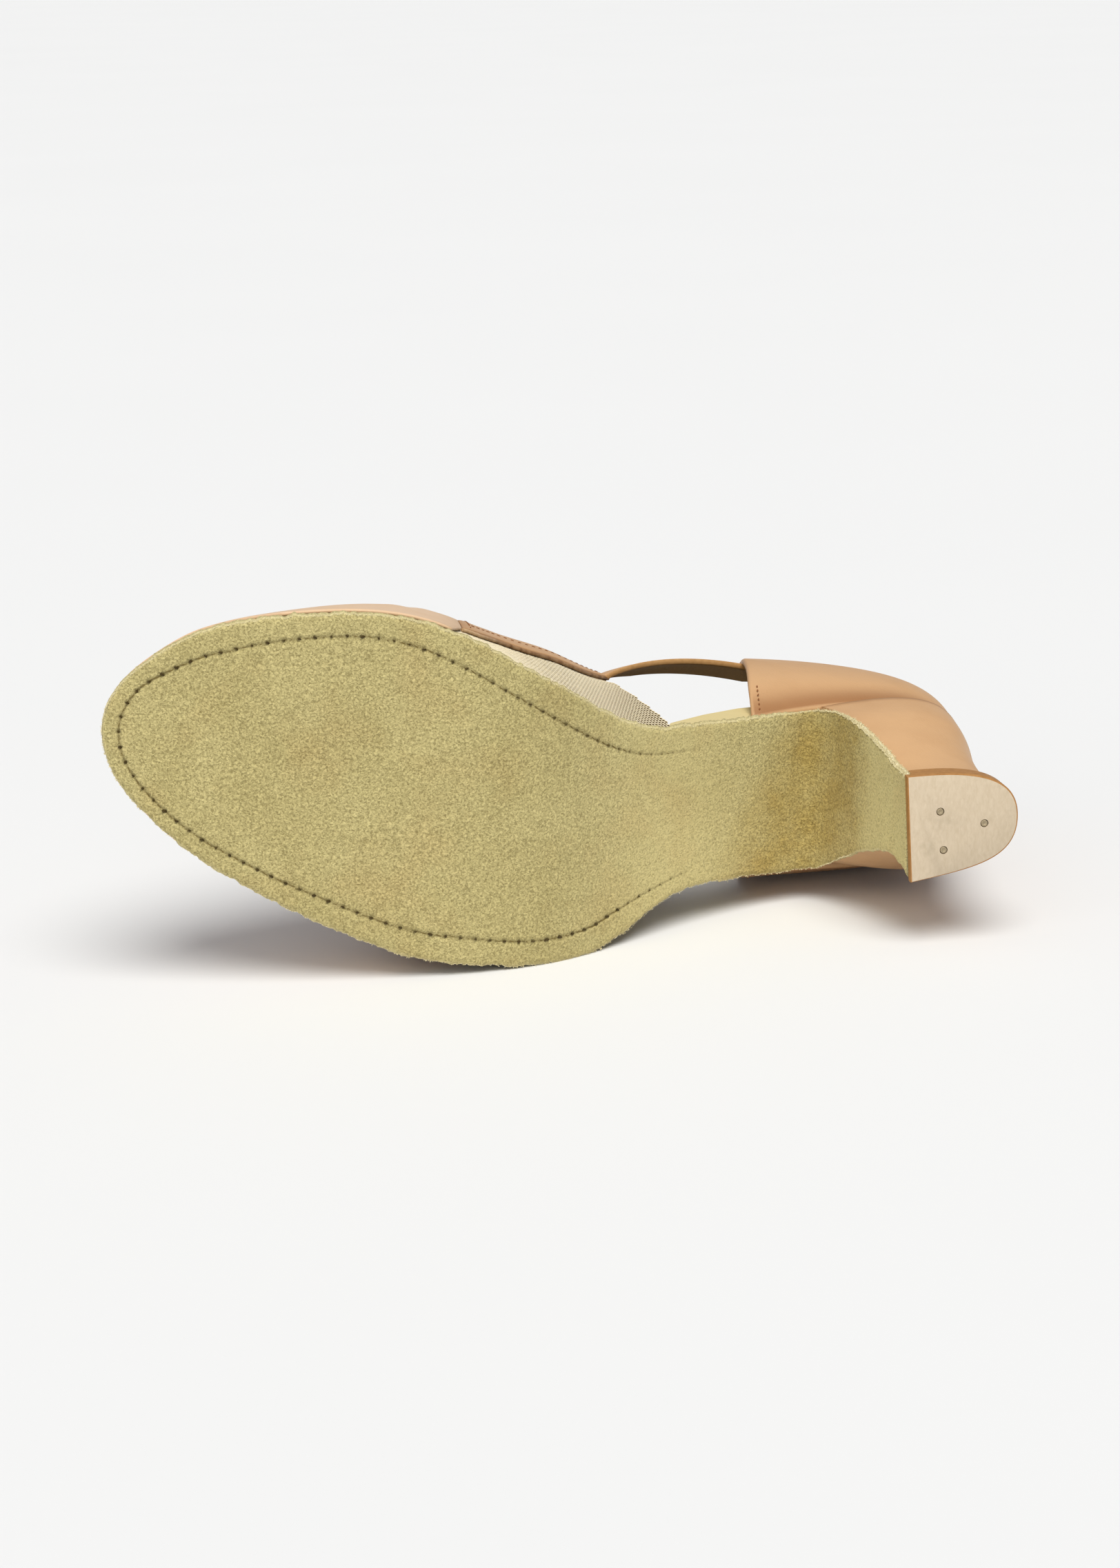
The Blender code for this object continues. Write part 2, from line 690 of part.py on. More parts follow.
def centre_of_mass(pieces):
    """Centre of mass of closed meshes, each with its own density."""
    total, moment = 0.0, Vector()
    for piece in pieces:
        density = DENSITY[piece.data.materials[0].name]
        points = [v.co for v in piece.data.vertices]
        for face in piece.data.polygons:
            a, b, c = (points[i] for i in face.vertices)
            volume = a.dot(b.cross(c)) / 6 * density
            total += volume
            moment += (a + b + c) / 4 * volume
    return moment / total


def resting_normal(points, centre):
    """Outward normal of the hull face on the outer side that the centre of mass stands over."""
    hull = bmesh.new()
    verts = [hull.verts.new(p) for p in points]
    bmesh.ops.convex_hull(hull, input=verts)
    hull.normal_update()
    best = None
    for face in hull.faces:
        corners = [v.co for v in face.verts]
        normal = face.normal if face.normal.dot(corners[0] - centre) > 0 else -face.normal
        foot = centre + normal * normal.dot(corners[0] - centre)
        inside = geometry.intersect_point_tri(foot, *corners)
        if inside and (best is None or normal.y < best.y):
            best = normal.copy()
    hull.free()
    return best


def lie_down(pieces, root):
    """Turn the shoe until it lies on its outer side, toe to -X, sole to -Y, on the floor."""
    points = [v.co for piece in pieces for v in piece.data.vertices]
    up = -resting_normal(points, centre_of_mass(pieces))
    along = Vector((-1, 0, 0))
    along = (along - up * along.dot(up)).normalized()
    turn = Matrix((along, up.cross(along), up))
    turned = [turn @ p for p in points]
    low = [min(p[k] for p in turned) for k in range(3)]
    high = [max(p[k] for p in turned) for k in range(3)]
    middle = Vector(((low[0] + high[0]) / 2, (low[1] + high[1]) / 2, low[2]))
    root.matrix_world = Matrix.Translation(-middle) @ turn.to_4x4()


def main():
    for old in list(bpy.data.objects):
        bpy.data.objects.remove(old, do_unlink=True)
    root = bpy.data.objects.new("shoe", None)
    bpy.context.collection.objects.link(root)
    looks = {
        "suede": material("suede", "BAAC77", 0.95),
        "board": material("board", "D9C68F", 0.7),
        "leather": material("leather", "D7B288", 0.45),
        "heel": material("heel", "D6AD80", 0.4),
        "lift": material("lift", "D8C5A6", 0.6),
        "steel": material("steel", "8A8478", 0.4, 1.0),
    }
    make_outsole(looks, root)
    make_insole(looks, root)
    make_heel(looks, root)
    make_lift(looks, root)
    make_nails(looks, root)
    make_upper(looks, root)
    pieces = [o for o in root.children if not o.hide_render]
    lie_down(pieces, root)


main()
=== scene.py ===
"""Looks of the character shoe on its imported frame: suede, net, leather, lift and pins.

Shapes are worked out in the shoe's own frame, in millimetres: X from the back of the heel to the toe, Y to
the inner side of the foot and Z up from the tread. The record's two treads place that frame on the floor.
"""
import json
import math

import bmesh
import bpy
import numpy as np
from mathutils import Matrix, Vector, kdtree, noise


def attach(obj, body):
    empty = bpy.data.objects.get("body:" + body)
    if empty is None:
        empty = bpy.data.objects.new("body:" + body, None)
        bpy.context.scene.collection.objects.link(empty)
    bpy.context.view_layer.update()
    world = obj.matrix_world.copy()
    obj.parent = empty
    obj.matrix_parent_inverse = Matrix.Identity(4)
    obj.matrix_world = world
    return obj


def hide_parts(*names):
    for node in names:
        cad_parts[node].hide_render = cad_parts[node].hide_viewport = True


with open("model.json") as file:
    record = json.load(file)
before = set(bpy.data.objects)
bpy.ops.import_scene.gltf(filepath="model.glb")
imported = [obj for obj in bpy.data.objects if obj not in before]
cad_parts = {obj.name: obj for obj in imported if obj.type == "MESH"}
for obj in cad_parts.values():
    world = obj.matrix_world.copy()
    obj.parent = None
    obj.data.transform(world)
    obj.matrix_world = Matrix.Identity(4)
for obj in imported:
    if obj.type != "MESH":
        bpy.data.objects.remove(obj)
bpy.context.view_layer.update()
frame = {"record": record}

# The record's two treads in the shoe's own frame
HEEL_MARK = (25.0, 2.0, 0.0)
FOREFOOT_MARK = (156.0, 12.0, 0.0)

# Driving sizes, in millimetres
LENGTH = 222.8
TOE_ROUND = 24.0
SOLE_THICK = 3.0
FEATHER_INSET = 2.6  # how far in from the sole's edge the upper stands
GAP = 0.3  # between pieces that stand on one another
BACKING = 0.7  # the vamp's backing, under the net
NET_TOP = 1.2  # height of the net over the vamp's inside
COUNTER_WALL = 1.9
STRAP_WALL = 1.7  # a strap's leather lies between these two heights over its line
STRAP_LINING = 0.3
OVERLAY_FROM = 1.5  # toe leather and instep band lie between these two heights
OVERLAY_TO = 2.5
WALL_FOOT = 8.0  # height over which the upper's wall frees itself of the bed
INSOLE_THICK = 2.0
LIFT_THICK = 6.0
LIFT_CORNERS = ((30.5, 14.6), (28.0, -11.9))
LIFT_SIDES = ((14.0, 16.5), (13.0, -8.5))
LIFT_BACK = ((2.1, 15.5), (2.1, -6.5))
LIFT_APEX = (2.1, 4.0)
PIN_PLACES = ((21.7, 5.9), (10.5, 3.0), (20.3, -3.7))
PIN_RADIUS = 0.88
BREAST_INSET = 0.4  # how far the heel block keeps inside the suede on its breast
HEEL_FULL = 12.5  # how far ahead of its back a heel's rounding starts
HEEL_SIDE = 1.1  # how full its sides are there
HEEL_SQUARE = 1.08  # how square the heel block's back is
INSOLE_PLAY = 0.5  # between the insole and the counter
INSOLE_HEEL = 58.0  # behind this the insole keeps inside the counter's wall
INSOLE_CURL_FROM = 0.72  # share of its half width from which its rim rises
INSOLE_CURL = 1.5  # power of that rise
INSOLE_HEEL_RIM = 6.0  # how far in from the back its rim starts to rise
FOOT_MIDDLE = (110.0, 4.0, 38.0)
COUNTER_FRONT_HEIGHT = 50.0
COUNTER_BACK_HEIGHT = 52.0
STRAP_FROM = 0.78  # level of the counter from which a strap is sewn in
STRAP_UPTO = (1.0, 0.96)  # and up to which, inner and outer strap
STRAP_BOW = (3.4, 0.4)  # how far it bows out, inner and outer strap
STRAP_LEAN = (2.7, 1.0)  # how far its upper edge leans in over the ankle, inner and outer strap
STRAP_SINK = (1.3, 2.6)  # how far it lies inside the counter, inner and outer strap
BAND_MARK = 0.2  # grid line along the instep band's lower edge
STRAP_MARK = 0.3  # grid line along the straps' upper edge
MERGE = 2e-6  # metres within which points are one


def spline(knots, values):
    """Natural cubic spline through a table's column, for numbers or arrays."""
    step = np.diff(knots)
    slope = np.diff(values) / step
    count = len(knots)
    matrix = np.eye(count)
    right = np.zeros(count)
    for i in range(1, count - 1):
        matrix[i, i - 1:i + 2] = step[i - 1], 2 * (step[i - 1] + step[i]), step[i]
        right[i] = 6 * (slope[i] - slope[i - 1])
    bend = np.linalg.solve(matrix, right)

    def at(x):
        i = np.clip(np.searchsorted(knots, x) - 1, 0, count - 2)
        a = (knots[i + 1] - x) / step[i]
        b = 1 - a
        curve = (a ** 3 - a) * bend[i] + (b ** 3 - b) * bend[i + 1]
        return a * values[i] + b * values[i + 1] + curve * step[i] ** 2 / 6

    return at


def columns(names, *rows):
    """A spline for each named column of a table, over its first column."""
    grid = np.array(rows, float)
    keys = names.split()
    return {key: spline(grid[:, 0], grid[:, i]) for i, key in enumerate(keys) if i}


def lines(names, *rows):
    """Straight runs for each named column of a table, over its first column."""
    grid = np.array(rows, float)
    keys = names.split()
    return {key: (lambda x, i=i: np.interp(x, grid[:, 0], grid[:, i])) for i, key in enumerate(keys) if i}


OUTLINE = columns(
    "x medial lateral",
    (42, 21.4, -19.9),
    (56, 21.0, -20.1),
    (70, 21.0, -20.0),
    (80, 21.3, -21.0),
    (90, 22.3, -25.4),
    (100, 26.4, -30.7),
    (110, 32.5, -32.6),
    (122, 39.6, -32.9),
    (136, 47.5, -31.7),
    (150, 52.6, -29.5),
    (165, 54.2, -24.0),
    (180, 53.3, -17.2),
    (196, 50.1, -8.4),
    (210, 45.4, -0.8),
    (223, 44.2, 3.0),
)
RISE = columns(
    "x rise",
    (-6, 53.6),
    (20, 50.4),
    (42, 45.6),
    (56, 39.9),
    (70, 32.5),
    (85, 23.0),
    (100, 13.2),
    (115, 5.2),
    (130, 1.2),
    (145, -0.3),
    (165, -0.3),
    (180, 0.5),
    (200, 2.6),
    (223, 7.6),
)
FLAP = columns(
    "row x z medial lateral",
    (0, 58.0, 38.9, 21.0, -20.0),
    (1, 51.0, 41.9, 21.2, -20.2),
    (2, 45.8, 42.9, 21.7, -19.9),
    (3, 41.9, 41.1, 22.2, -18.8),
    (4, 39.0, 36.4, 22.3, -16.2),
    (5, 36.2, 29.2, 21.0, -12.2),
    (6, 33.8, 20.8, 18.8, -8.9),
    (7, 31.9, 12.4, 16.1, -7.2),
    (8, 30.6, 6.3, 14.6, -8.6),
    (9, 30.3, 2.5, 14.3, -10.8),
)
FLAP_ROWS = 8  # rows of the heel's breast
FLAP_END = 9  # the suede runs on over the lift's front edge
FLAP_SKEW = 1.6  # how far its outer corner follows the lift's slanted front
FLAP_CORNER = 3  # row where the sole turns down the breast
FLAP_BACK = lines(
    "row x z trim",
    (0, 58.0, 41.9, 0.0),
    (1, 51.0, 45.1, 0.4),
    (2, 46.0, 47.1, 1.2),
    (3, 41.2, 48.6, 2.0),
    (4, 37.4, 37.0, 0.6),
    (5, 34.6, 29.8, 0.0),
    (6, 32.2, 21.3, 0.0),
    (7, 30.3, 12.8, 0.0),
    (8, 29.0, 6.3, 0.0),
    (9, 28.9, 2.5, 0.0),
)
HEEL = columns(
    "row side_medial side_lateral back_x back_z",
    (3, 23.0, -21.9, 0.2, 56.0),
    (4, 21.6, -19.6, 1.4, 43.0),
    (5, 19.4, -16.4, 2.9, 34.0),
    (6, 17.0, -13.6, 3.9, 23.5),
    (7, 15.2, -11.4, 3.8, 13.5),
    (8, 14.4, -9.6, 2.9, 6.3),
)
VAMP = columns(
    "x ridge_y ridge_z lean_medial rise_medial round_medial lean_lateral rise_lateral round_lateral",
    (80, 11.0, 95.0, 5.0, 0.95, 1.10, 5.0, 0.62, 0.60),
    (95, 14.0, 85.5, 5.0, 0.95, 1.10, 5.0, 0.62, 0.60),
    (110, 19.0, 75.0, 3.5, 0.95, 1.10, 3.5, 0.62, 0.65),
    (125, 24.0, 64.0, -1.5, 0.90, 1.05, 4.5, 0.62, 0.70),
    (140, 27.0, 54.0, -2.5, 0.82, 0.95, 7.0, 0.62, 0.80),
    (155, 28.0, 46.0, -2.5, 0.76, 0.85, 8.0, 0.62, 0.80),
    (170, 27.5, 39.5, -2.5, 0.72, 0.76, 7.0, 0.62, 0.75),
    (185, 26.0, 33.5, -3.0, 0.70, 0.66, 5.0, 0.62, 0.70),
    (200, 24.5, 28.0, -3.0, 0.70, 0.60, 3.0, 0.62, 0.65),
    (222, 23.6, 22.0, -2.0, 0.70, 0.60, 2.0, 0.62, 0.60),
)
BAND_EDGE = columns(
    "x share",
    (84, 0.235),
    (94, 0.19),
    (101, 0.14),
    (110, 0.10),
    (118, 0.082),
    (127, 0.068),
    (135, 0.035),
    (142, 0.022),
    (170, 0.06),
    (200, 0.13),
    (222, 0.16),
)
# On the inner side the band is cut a little higher
BAND_RAISE = lines(
    "x share",
    (84, 0.0),
    (94, 0.008),
    (101, 0.025),
    (110, 0.042),
    (127, 0.049),
    (135, 0.038),
    (142, 0.03),
    (170, 0.02),
    (200, 0.0),
)
VAMP_ENDS = columns(
    "line rear seam",
    (0.0, 84.0, 142.0),
    (0.2, 93.5, 138.0),
    (0.3, 95.5, 136.0),
    (0.5, 98.0, 137.0),
    (0.7, 95.5, 143.0),
    (0.8, 93.5, 147.0),
    (1.0, 86.0, 151.0),
)
COUNTER = columns(
    "height front_x front_medial front_lateral side_medial side_lateral back_x full",
    (0.0, 59.9, 19.4, -18.4, 20.4, -19.4, 2.2, 1.05),
    (0.2, 58.8, 24.4, -22.2, 22.3, -22.4, 0.0, 0.98),
    (0.4, 57.0, 26.6, -23.8, 22.2, -24.2, -1.4, 0.94),
    (0.6, 55.3, 26.6, -23.2, 20.8, -23.3, -1.4, 0.92),
    (0.8, 53.6, 25.2, -20.6, 18.8, -20.8, -0.4, 0.88),
    (1.0, 51.7, 22.4, -16.8, 17.0, -17.2, 1.8, 0.85),
)
INSOLE = lines(
    "x inset curl",
    (-6, 3.4, 7.0),
    (58.0, 0.6, 9.9),
    (62.0, 0.5, 9.8),
    (72, 0.5, 7.4),
    (82.5, 1.0, 4.4),
    (84, 3.0, 3.6),
    (94, 3.2, 0.8),
    (100, 3.4, 0.0),
    (223, 3.4, 0.0),
)

# How far the sole's inner edge is trimmed back from the toe leather
EDGE_TRIM = lines(
    "x in",
    (112, 0.0),
    (132, 0.6),
    (158, 0.9),
    (186, 0.7),
    (208, 0.0),
)

# How far in from the sole's outline its stitches run, from the inner waist round the toe to the outer waist
STITCH_INSET = lines(
    "run inset",
    (0.00, 6.2),
    (0.12, 7.2),
    (0.21, 7.2),
    (0.29, 6.0),
    (0.38, 6.4),
    (0.45, 3.8),
    (0.57, 3.8),
    (0.69, 5.7),
    (0.79, 6.5),
    (0.86, 6.0),
    (0.93, 6.7),
    (0.98, 4.4),
    (1.00, 4.4),
)
STITCH_FROM = 77.0  # x where the stitch line starts and ends
STITCH_PITCH = 3.7
STITCH_FADE = 24.0  # length over which the line fades at the waist
STITCH_SLANT = 0.2  # how far each stitch lies across its line


def shoe_frame(record):
    """Rotation with scale, and shift, that take the shoe's millimetres to the frame's metres."""
    mounts = {m["name"]: m for m in record["mounts"]}
    heel, forefoot = (np.array(mounts[name]["pos_m"]) for name in ("heel_tread", "forefoot_tread"))

    def axes(start, end, up):
        along = end - start
        along = along - up * (along @ up)
        along = along / np.linalg.norm(along)
        return np.array((along, np.cross(up, along), up))

    own = axes(np.array(HEEL_MARK), np.array(FOREFOOT_MARK), np.array((0.0, 0.0, 1.0)))
    up = -np.array(mounts["heel_tread"]["axis"])
    turn = axes(heel, forefoot, up / np.linalg.norm(up)).T @ own
    return turn, heel - turn @ np.array(HEEL_MARK) / 1000


TURN, SHIFT = shoe_frame(frame["record"])


# Sections of the shoe, for numbers or arrays

def underside(x):
    return np.maximum(0.0, RISE["rise"](x))


def bed(x):
    """Top of the sole and of the heel, which the insole and the upper stand on."""
    return underside(x) + SOLE_THICK


def toe_rounding(x, tip):
    start = LENGTH - TOE_ROUND
    share = np.clip((x - start) / (tip - start), 0.0, 1.0)
    return np.sqrt(1 - share ** 2)


def sole_edges(x, inset=0.0):
    """Inner and outer edge of the sole, moved in by inset."""
    medial = OUTLINE["medial"](x)
    lateral = OUTLINE["lateral"](x)
    middle = (medial + lateral) / 2
    half = ((medial - lateral) / 2 - inset) * toe_rounding(x, LENGTH - inset)
    return middle + half, middle - half


def bezier(points, t):
    t = np.asarray(t, float)[..., None]
    weights = ((1 - t) ** 3, 3 * t * (1 - t) ** 2, 3 * t ** 2 * (1 - t), t ** 3)
    return sum(w * np.asarray(p, float) for w, p in zip(weights, points))


def toe_spacing(start, end, count):
    return start + (end - start) * np.sin(np.linspace(0, math.pi / 2, count + 1))


def vamp_points(x, share):
    """Inside of the vamp at x, from inner feather edge (0) over the ridge (0.5) to the outer (1)."""
    x, share = np.broadcast_arrays(np.asarray(x, float), np.asarray(share, float))
    medial, lateral = sole_edges(x, FEATHER_INSET)
    rounding = toe_rounding(x, LENGTH - FEATHER_INSET)
    low = bed(x) + GAP
    middle = (medial + lateral) / 2
    ridge_y = middle + (VAMP["ridge_y"](x) - middle) * rounding
    ridge_z = low + (VAMP["ridge_z"](x) - low) * rounding
    inner = share <= 0.5
    lean, rise, full = (np.where(inner, VAMP[key + "_medial"](x), VAMP[key + "_lateral"](x))
                        for key in ("lean", "rise", "round"))
    foot = np.where(inner, medial, lateral)
    wall = foot + lean * rounding * np.where(inner, 1, -1)
    shoulder = ridge_y + full * (foot - ridge_y)
    ends = np.stack([foot, low], -1), np.stack([wall, low + rise * (ridge_z - low)], -1)
    tops = np.stack([shoulder, ridge_z], -1), np.stack([ridge_y, ridge_z], -1)
    yz = bezier(ends + tops, np.where(inner, 2 * share, 2 - 2 * share))
    return np.concatenate([x[..., None], yz], -1)


def band_edge(x, inner):
    """Share of the section at the band's lower edge, on the inner or the outer side."""
    return BAND_EDGE["share"](x) + np.where(inner, BAND_RAISE["share"](x), 0.0)


def band_share(x, line):
    """Share of the section at a grid line, so that BAND_MARK runs along the band's lower edge."""
    edge = band_edge(x, line <= 0.5)
    mirrored = np.minimum(line, 1 - line)
    above = edge + (0.5 - edge) * (mirrored - BAND_MARK) / (0.5 - BAND_MARK)
    share = np.where(mirrored <= BAND_MARK, edge * mirrored / BAND_MARK, above)
    return np.where(line <= 0.5, share, 1 - share)


def vamp_grid(run, line):
    """Inside of the vamp over grid lines; run is 0 at the throat, 1 at the toe's seam and 2 at the tip."""
    run, line = np.meshgrid(run, line, indexing="ij")
    rear = VAMP_ENDS["rear"](line)
    seam = VAMP_ENDS["seam"](line)
    toe = np.sin(np.clip(run - 1, 0, 1) * math.pi / 2)
    x = rear + (seam - rear) * np.minimum(run, 1) + (LENGTH - FEATHER_INSET - seam) * toe
    return vamp_points(x, band_share(x, line))


def d_curve(front, side_y, back_x, full, count):
    """From a front corner along a rounded side to the middle of the back."""
    handles = (front, (back_x + HEEL_FULL, HEEL_SIDE * side_y), (back_x, full * side_y), (back_x, 0.0))
    return bezier(handles, np.linspace(0, 1, count + 1))


def counter_grid(levels, count):
    """Inside of the counter: a row for each level, from the inner front edge round to the outer."""
    rows = []
    for level in levels:
        at = {key: column(level) for key, column in COUNTER.items()}
        inner, outer = (d_curve((at["front_x"], at["front_" + side]), at["side_" + side], at["back_x"],
                                at["full"], count) for side in ("medial", "lateral"))
        plan = np.concatenate([inner, outer[-2::-1]])
        forward = np.clip(plan[:, 0] / COUNTER["front_x"](0), 0, 1)
        height = COUNTER_BACK_HEIGHT + (COUNTER_FRONT_HEIGHT - COUNTER_BACK_HEIGHT) * forward
        rows.append(np.column_stack([plan, bed(plan[:, 0]) + GAP + level * height]))
    return np.array(rows)


def near_bed(points):
    """1 on the feather edge, falling to 0 where the wall is free of the bed."""
    return np.maximum(0.0, 1 - (points[..., 2] - bed(points[..., 0]) - GAP) / WALL_FOOT)


def unit(vectors):
    return vectors / np.maximum(np.linalg.norm(vectors, axis=-1, keepdims=True), 1e-9)


def outward(grid):
    """Directions away from the foot over a grid; towards the feather edge they turn level."""
    normal = np.cross(np.gradient(grid, axis=0), np.gradient(grid, axis=1))
    flat = np.linalg.norm(normal, axis=-1) < 1e-7
    normal = unit(normal)
    if (normal * (grid - np.array(FOOT_MIDDLE))).sum() < 0:
        normal = -normal
    normal[flat] = (1.0, 0.0, 0.0)
    normal[..., 2] *= 1 - near_bed(grid)
    return unit(normal)


def lifted(grid, normal, height):
    """The grid moved out by a height; the feather edge follows the bed's slope."""
    place = grid + normal * np.asarray(height, float)[..., None]
    place[..., 2] += (bed(place[..., 0]) - bed(grid[..., 0])) * near_bed(grid)
    return place


# Mesh building

def quads(index):
    """Faces of a grid of point numbers."""
    corners = index[:-1, :-1], index[:-1, 1:], index[1:, 1:], index[1:, :-1]
    return np.stack(corners, -1).reshape(-1, 4).tolist()


def round_faces(index):
    """Faces of rows of point numbers that each run round."""
    return quads(np.column_stack([index, index[:, 0]]))


def closed(index):
    """Those faces, with one more over each end."""
    return round_faces(index) + [index[0].tolist(), index[-1].tolist()]


OUTSIDE, INSIDE, RIM = 0, 1, 2


def shell(outer, inner, steps=4, full=1.0):
    """Closed wall between two grids, its rim half-round or flatter: points, faces, and each face's side."""
    rows, cols = outer.shape[:2]
    index = np.arange(rows * cols).reshape(rows, cols)
    loop = [(0, c) for c in range(cols)] + [(r, cols - 1) for r in range(1, rows)]
    loop += [(rows - 1, c) for c in range(cols - 2, -1, -1)] + [(r, 0) for r in range(rows - 2, 0, -1)]
    at = tuple(np.array(loop).T)
    near = np.clip(at[0], 1, rows - 2), np.clip(at[1], 1, cols - 2)
    middle = (outer + inner) / 2
    half = (outer - inner)[at] / 2
    away = unit(middle[at] - middle[near]) * full * np.linalg.norm(half, axis=1)[:, None]
    points = [outer.reshape(-1, 3), inner.reshape(-1, 3)]
    rings = [index[at]]
    for angle in np.linspace(0, math.pi, steps + 1)[1:-1]:
        points.append(middle[at] + half * math.cos(angle) + away * math.sin(angle))
        rings.append(np.arange(len(loop)) + sum(len(p) for p in points[:-1]))
    rings.append(index[at] + rows * cols)
    wall = quads(index)
    rim = []
    for a, b in zip(rings, rings[1:]):
        rim += np.stack([a, np.roll(a, -1), np.roll(b, -1), b], -1).tolist()
    faces = wall + quads(index + rows * cols) + rim
    sides = [OUTSIDE] * len(wall) + [INSIDE] * len(wall) + [RIM] * len(rim)
    return np.concatenate(points), faces, sides


def make(name, points, faces, looks, stands_for=(), sides=None, marks=None, sharp=50):
    """A named piece from points in the shoe's frame; marks are numbers on its points for its materials."""
    mesh = bpy.data.meshes.new(name)
    mesh.from_pydata((np.asarray(points) @ TURN.T / 1000 + SHIFT).tolist(), [], faces)
    for look in looks:
        mesh.materials.append(look)
    if sides is not None:
        mesh.polygons.foreach_set("material_index", sides)
    for key, values in (marks or {}).items():
        mesh.attributes.new(key, "FLOAT", "POINT").data.foreach_set("value", np.asarray(values, np.float32))
    tidy = bmesh.new()
    tidy.from_mesh(mesh)
    bmesh.ops.remove_doubles(tidy, verts=tidy.verts, dist=MERGE)
    bmesh.ops.dissolve_degenerate(tidy, edges=tidy.edges, dist=MERGE)
    bmesh.ops.recalc_face_normals(tidy, faces=tidy.faces)
    tidy.to_mesh(mesh)
    tidy.free()
    mesh.shade_smooth()
    mesh.set_sharp_from_angle(angle=math.radians(sharp))
    piece = bpy.data.objects.new(name, mesh)
    bpy.context.scene.collection.objects.link(piece)
    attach(piece, "root")
    if stands_for:
        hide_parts(*stands_for)
    return piece


def tube(path, across, up, radii, sides):
    """Closed tube along a path of points; across and up span its oval section."""
    turns = np.linspace(0, 2 * math.pi, sides, endpoint=False)
    ring = (np.cos(turns)[None, :, None] * across[:, None] * radii[0]
            + np.sin(turns)[None, :, None] * up[:, None] * radii[1])
    points = (path[:, None] + ring).reshape(-1, 3)
    return points, closed(np.arange(len(points)).reshape(len(path), sides))


def lengths(path):
    """Running length along a path of points."""
    return np.concatenate([[0.0], np.cumsum(np.linalg.norm(np.diff(path, axis=0), axis=1))])


def along(path, places):
    """Points at given lengths along a path."""
    run = lengths(path)
    return np.column_stack([np.interp(places, run, path[:, k]) for k in range(path.shape[1])])


def rough(points, size):
    """Smooth noise of a given grain size over points, about -1 to 1."""
    return np.array([noise.noise(Vector(p)) for p in np.asarray(points) / size])


def unevenness(points, *parts):
    """Noise over points added up from parts, each a height and a grain size."""
    return sum(height * rough(points, size) for height, size in parts)


# Materials

def linear(code):
    """sRGB hex colour as linear red, green, blue and alpha."""
    channels = [int(code[i:i + 2], 16) / 255 for i in (0, 2, 4)]
    return [c / 12.92 if c <= 0.04045 else ((c + 0.055) / 1.055) ** 2.4 for c in channels] + [1.0]


def add(tree, kind, inputs=None, **settings):
    """Adds a node with its settings; inputs are values or other nodes' outputs."""
    made = tree.nodes.new(kind)
    for key, value in settings.items():
        setattr(made, key, value)
    for key, value in (inputs or {}).items():
        if isinstance(value, bpy.types.NodeSocket):
            tree.links.new(value, made.inputs[key])
        else:
            made.inputs[key].default_value = value
    return made


def material(name, **sockets):
    """A material with constant values on its shader: returns it, its tree, shader and coordinates."""
    made = bpy.data.materials.new(name)
    made.use_nodes = True
    tree = made.node_tree
    shader = tree.nodes["Principled BSDF"]
    for key, value in sockets.items():
        shader.inputs[key.replace("_", " ")].default_value = value
    return made, tree, shader, add(tree, "ShaderNodeTexCoord").outputs["Object"]


def per_mm(size):
    """Texture scale, per metre, of a pattern whose features are that many millimetres across."""
    return 1000 / size


# Sizes of the materials' patterns, in millimetres
NAP_GRAIN = 0.52  # curls of the suede's nap
NAP_PITS = 1.0  # from one pit of painted shade between the curls to the next
NAP_DRIFT = 16.0  # warm drifts over the suede
NAP_RUB = 26.0  # greyer patches where it is rubbed
FIBRE_TONE = 1.5  # changes of tone along the cut edge's fibres
LEATHER_GRAIN = 0.7  # cells of the leather's fine grain
LEATHER_CLOUD = 14.0  # slow changes of its tone
LEATHER_SLACK = 5.0  # soft unevenness of its face
YARN = 0.5  # threads of net and cloth
LIFT_FIBRE = 0.7
LIFT_SCUFF = 4.0
DYE_STREAK = 1.2
STEEL_BRUSH = 0.4
FLOOR_MOTTLE = 300.0
GLOSS_PLAY = 0.06  # how far a leather's roughness changes from place to place


def wire(tree, shader, **outputs):
    """Links outputs to the shader's sockets."""
    for key, output in outputs.items():
        tree.links.new(output, shader.inputs[key.replace("_", " ")])


def two_tones(name, darker, lighter, size, detail=2.0, **sockets):
    """A material of two tones in grains of a size: returns it, its tree, its shader and the grains."""
    made, tree, shader, place = material(name, **sockets)
    grain = add(tree, "ShaderNodeTexNoise", {"Vector": place, "Scale": per_mm(size), "Detail": detail})
    colour = add(tree, "ShaderNodeMix", {0: grain.outputs["Fac"], 6: linear(darker), 7: linear(lighter)},
                 data_type="RGBA")
    wire(tree, shader, Base_Color=colour.outputs[2])
    return made, tree, shader, grain.outputs["Fac"]


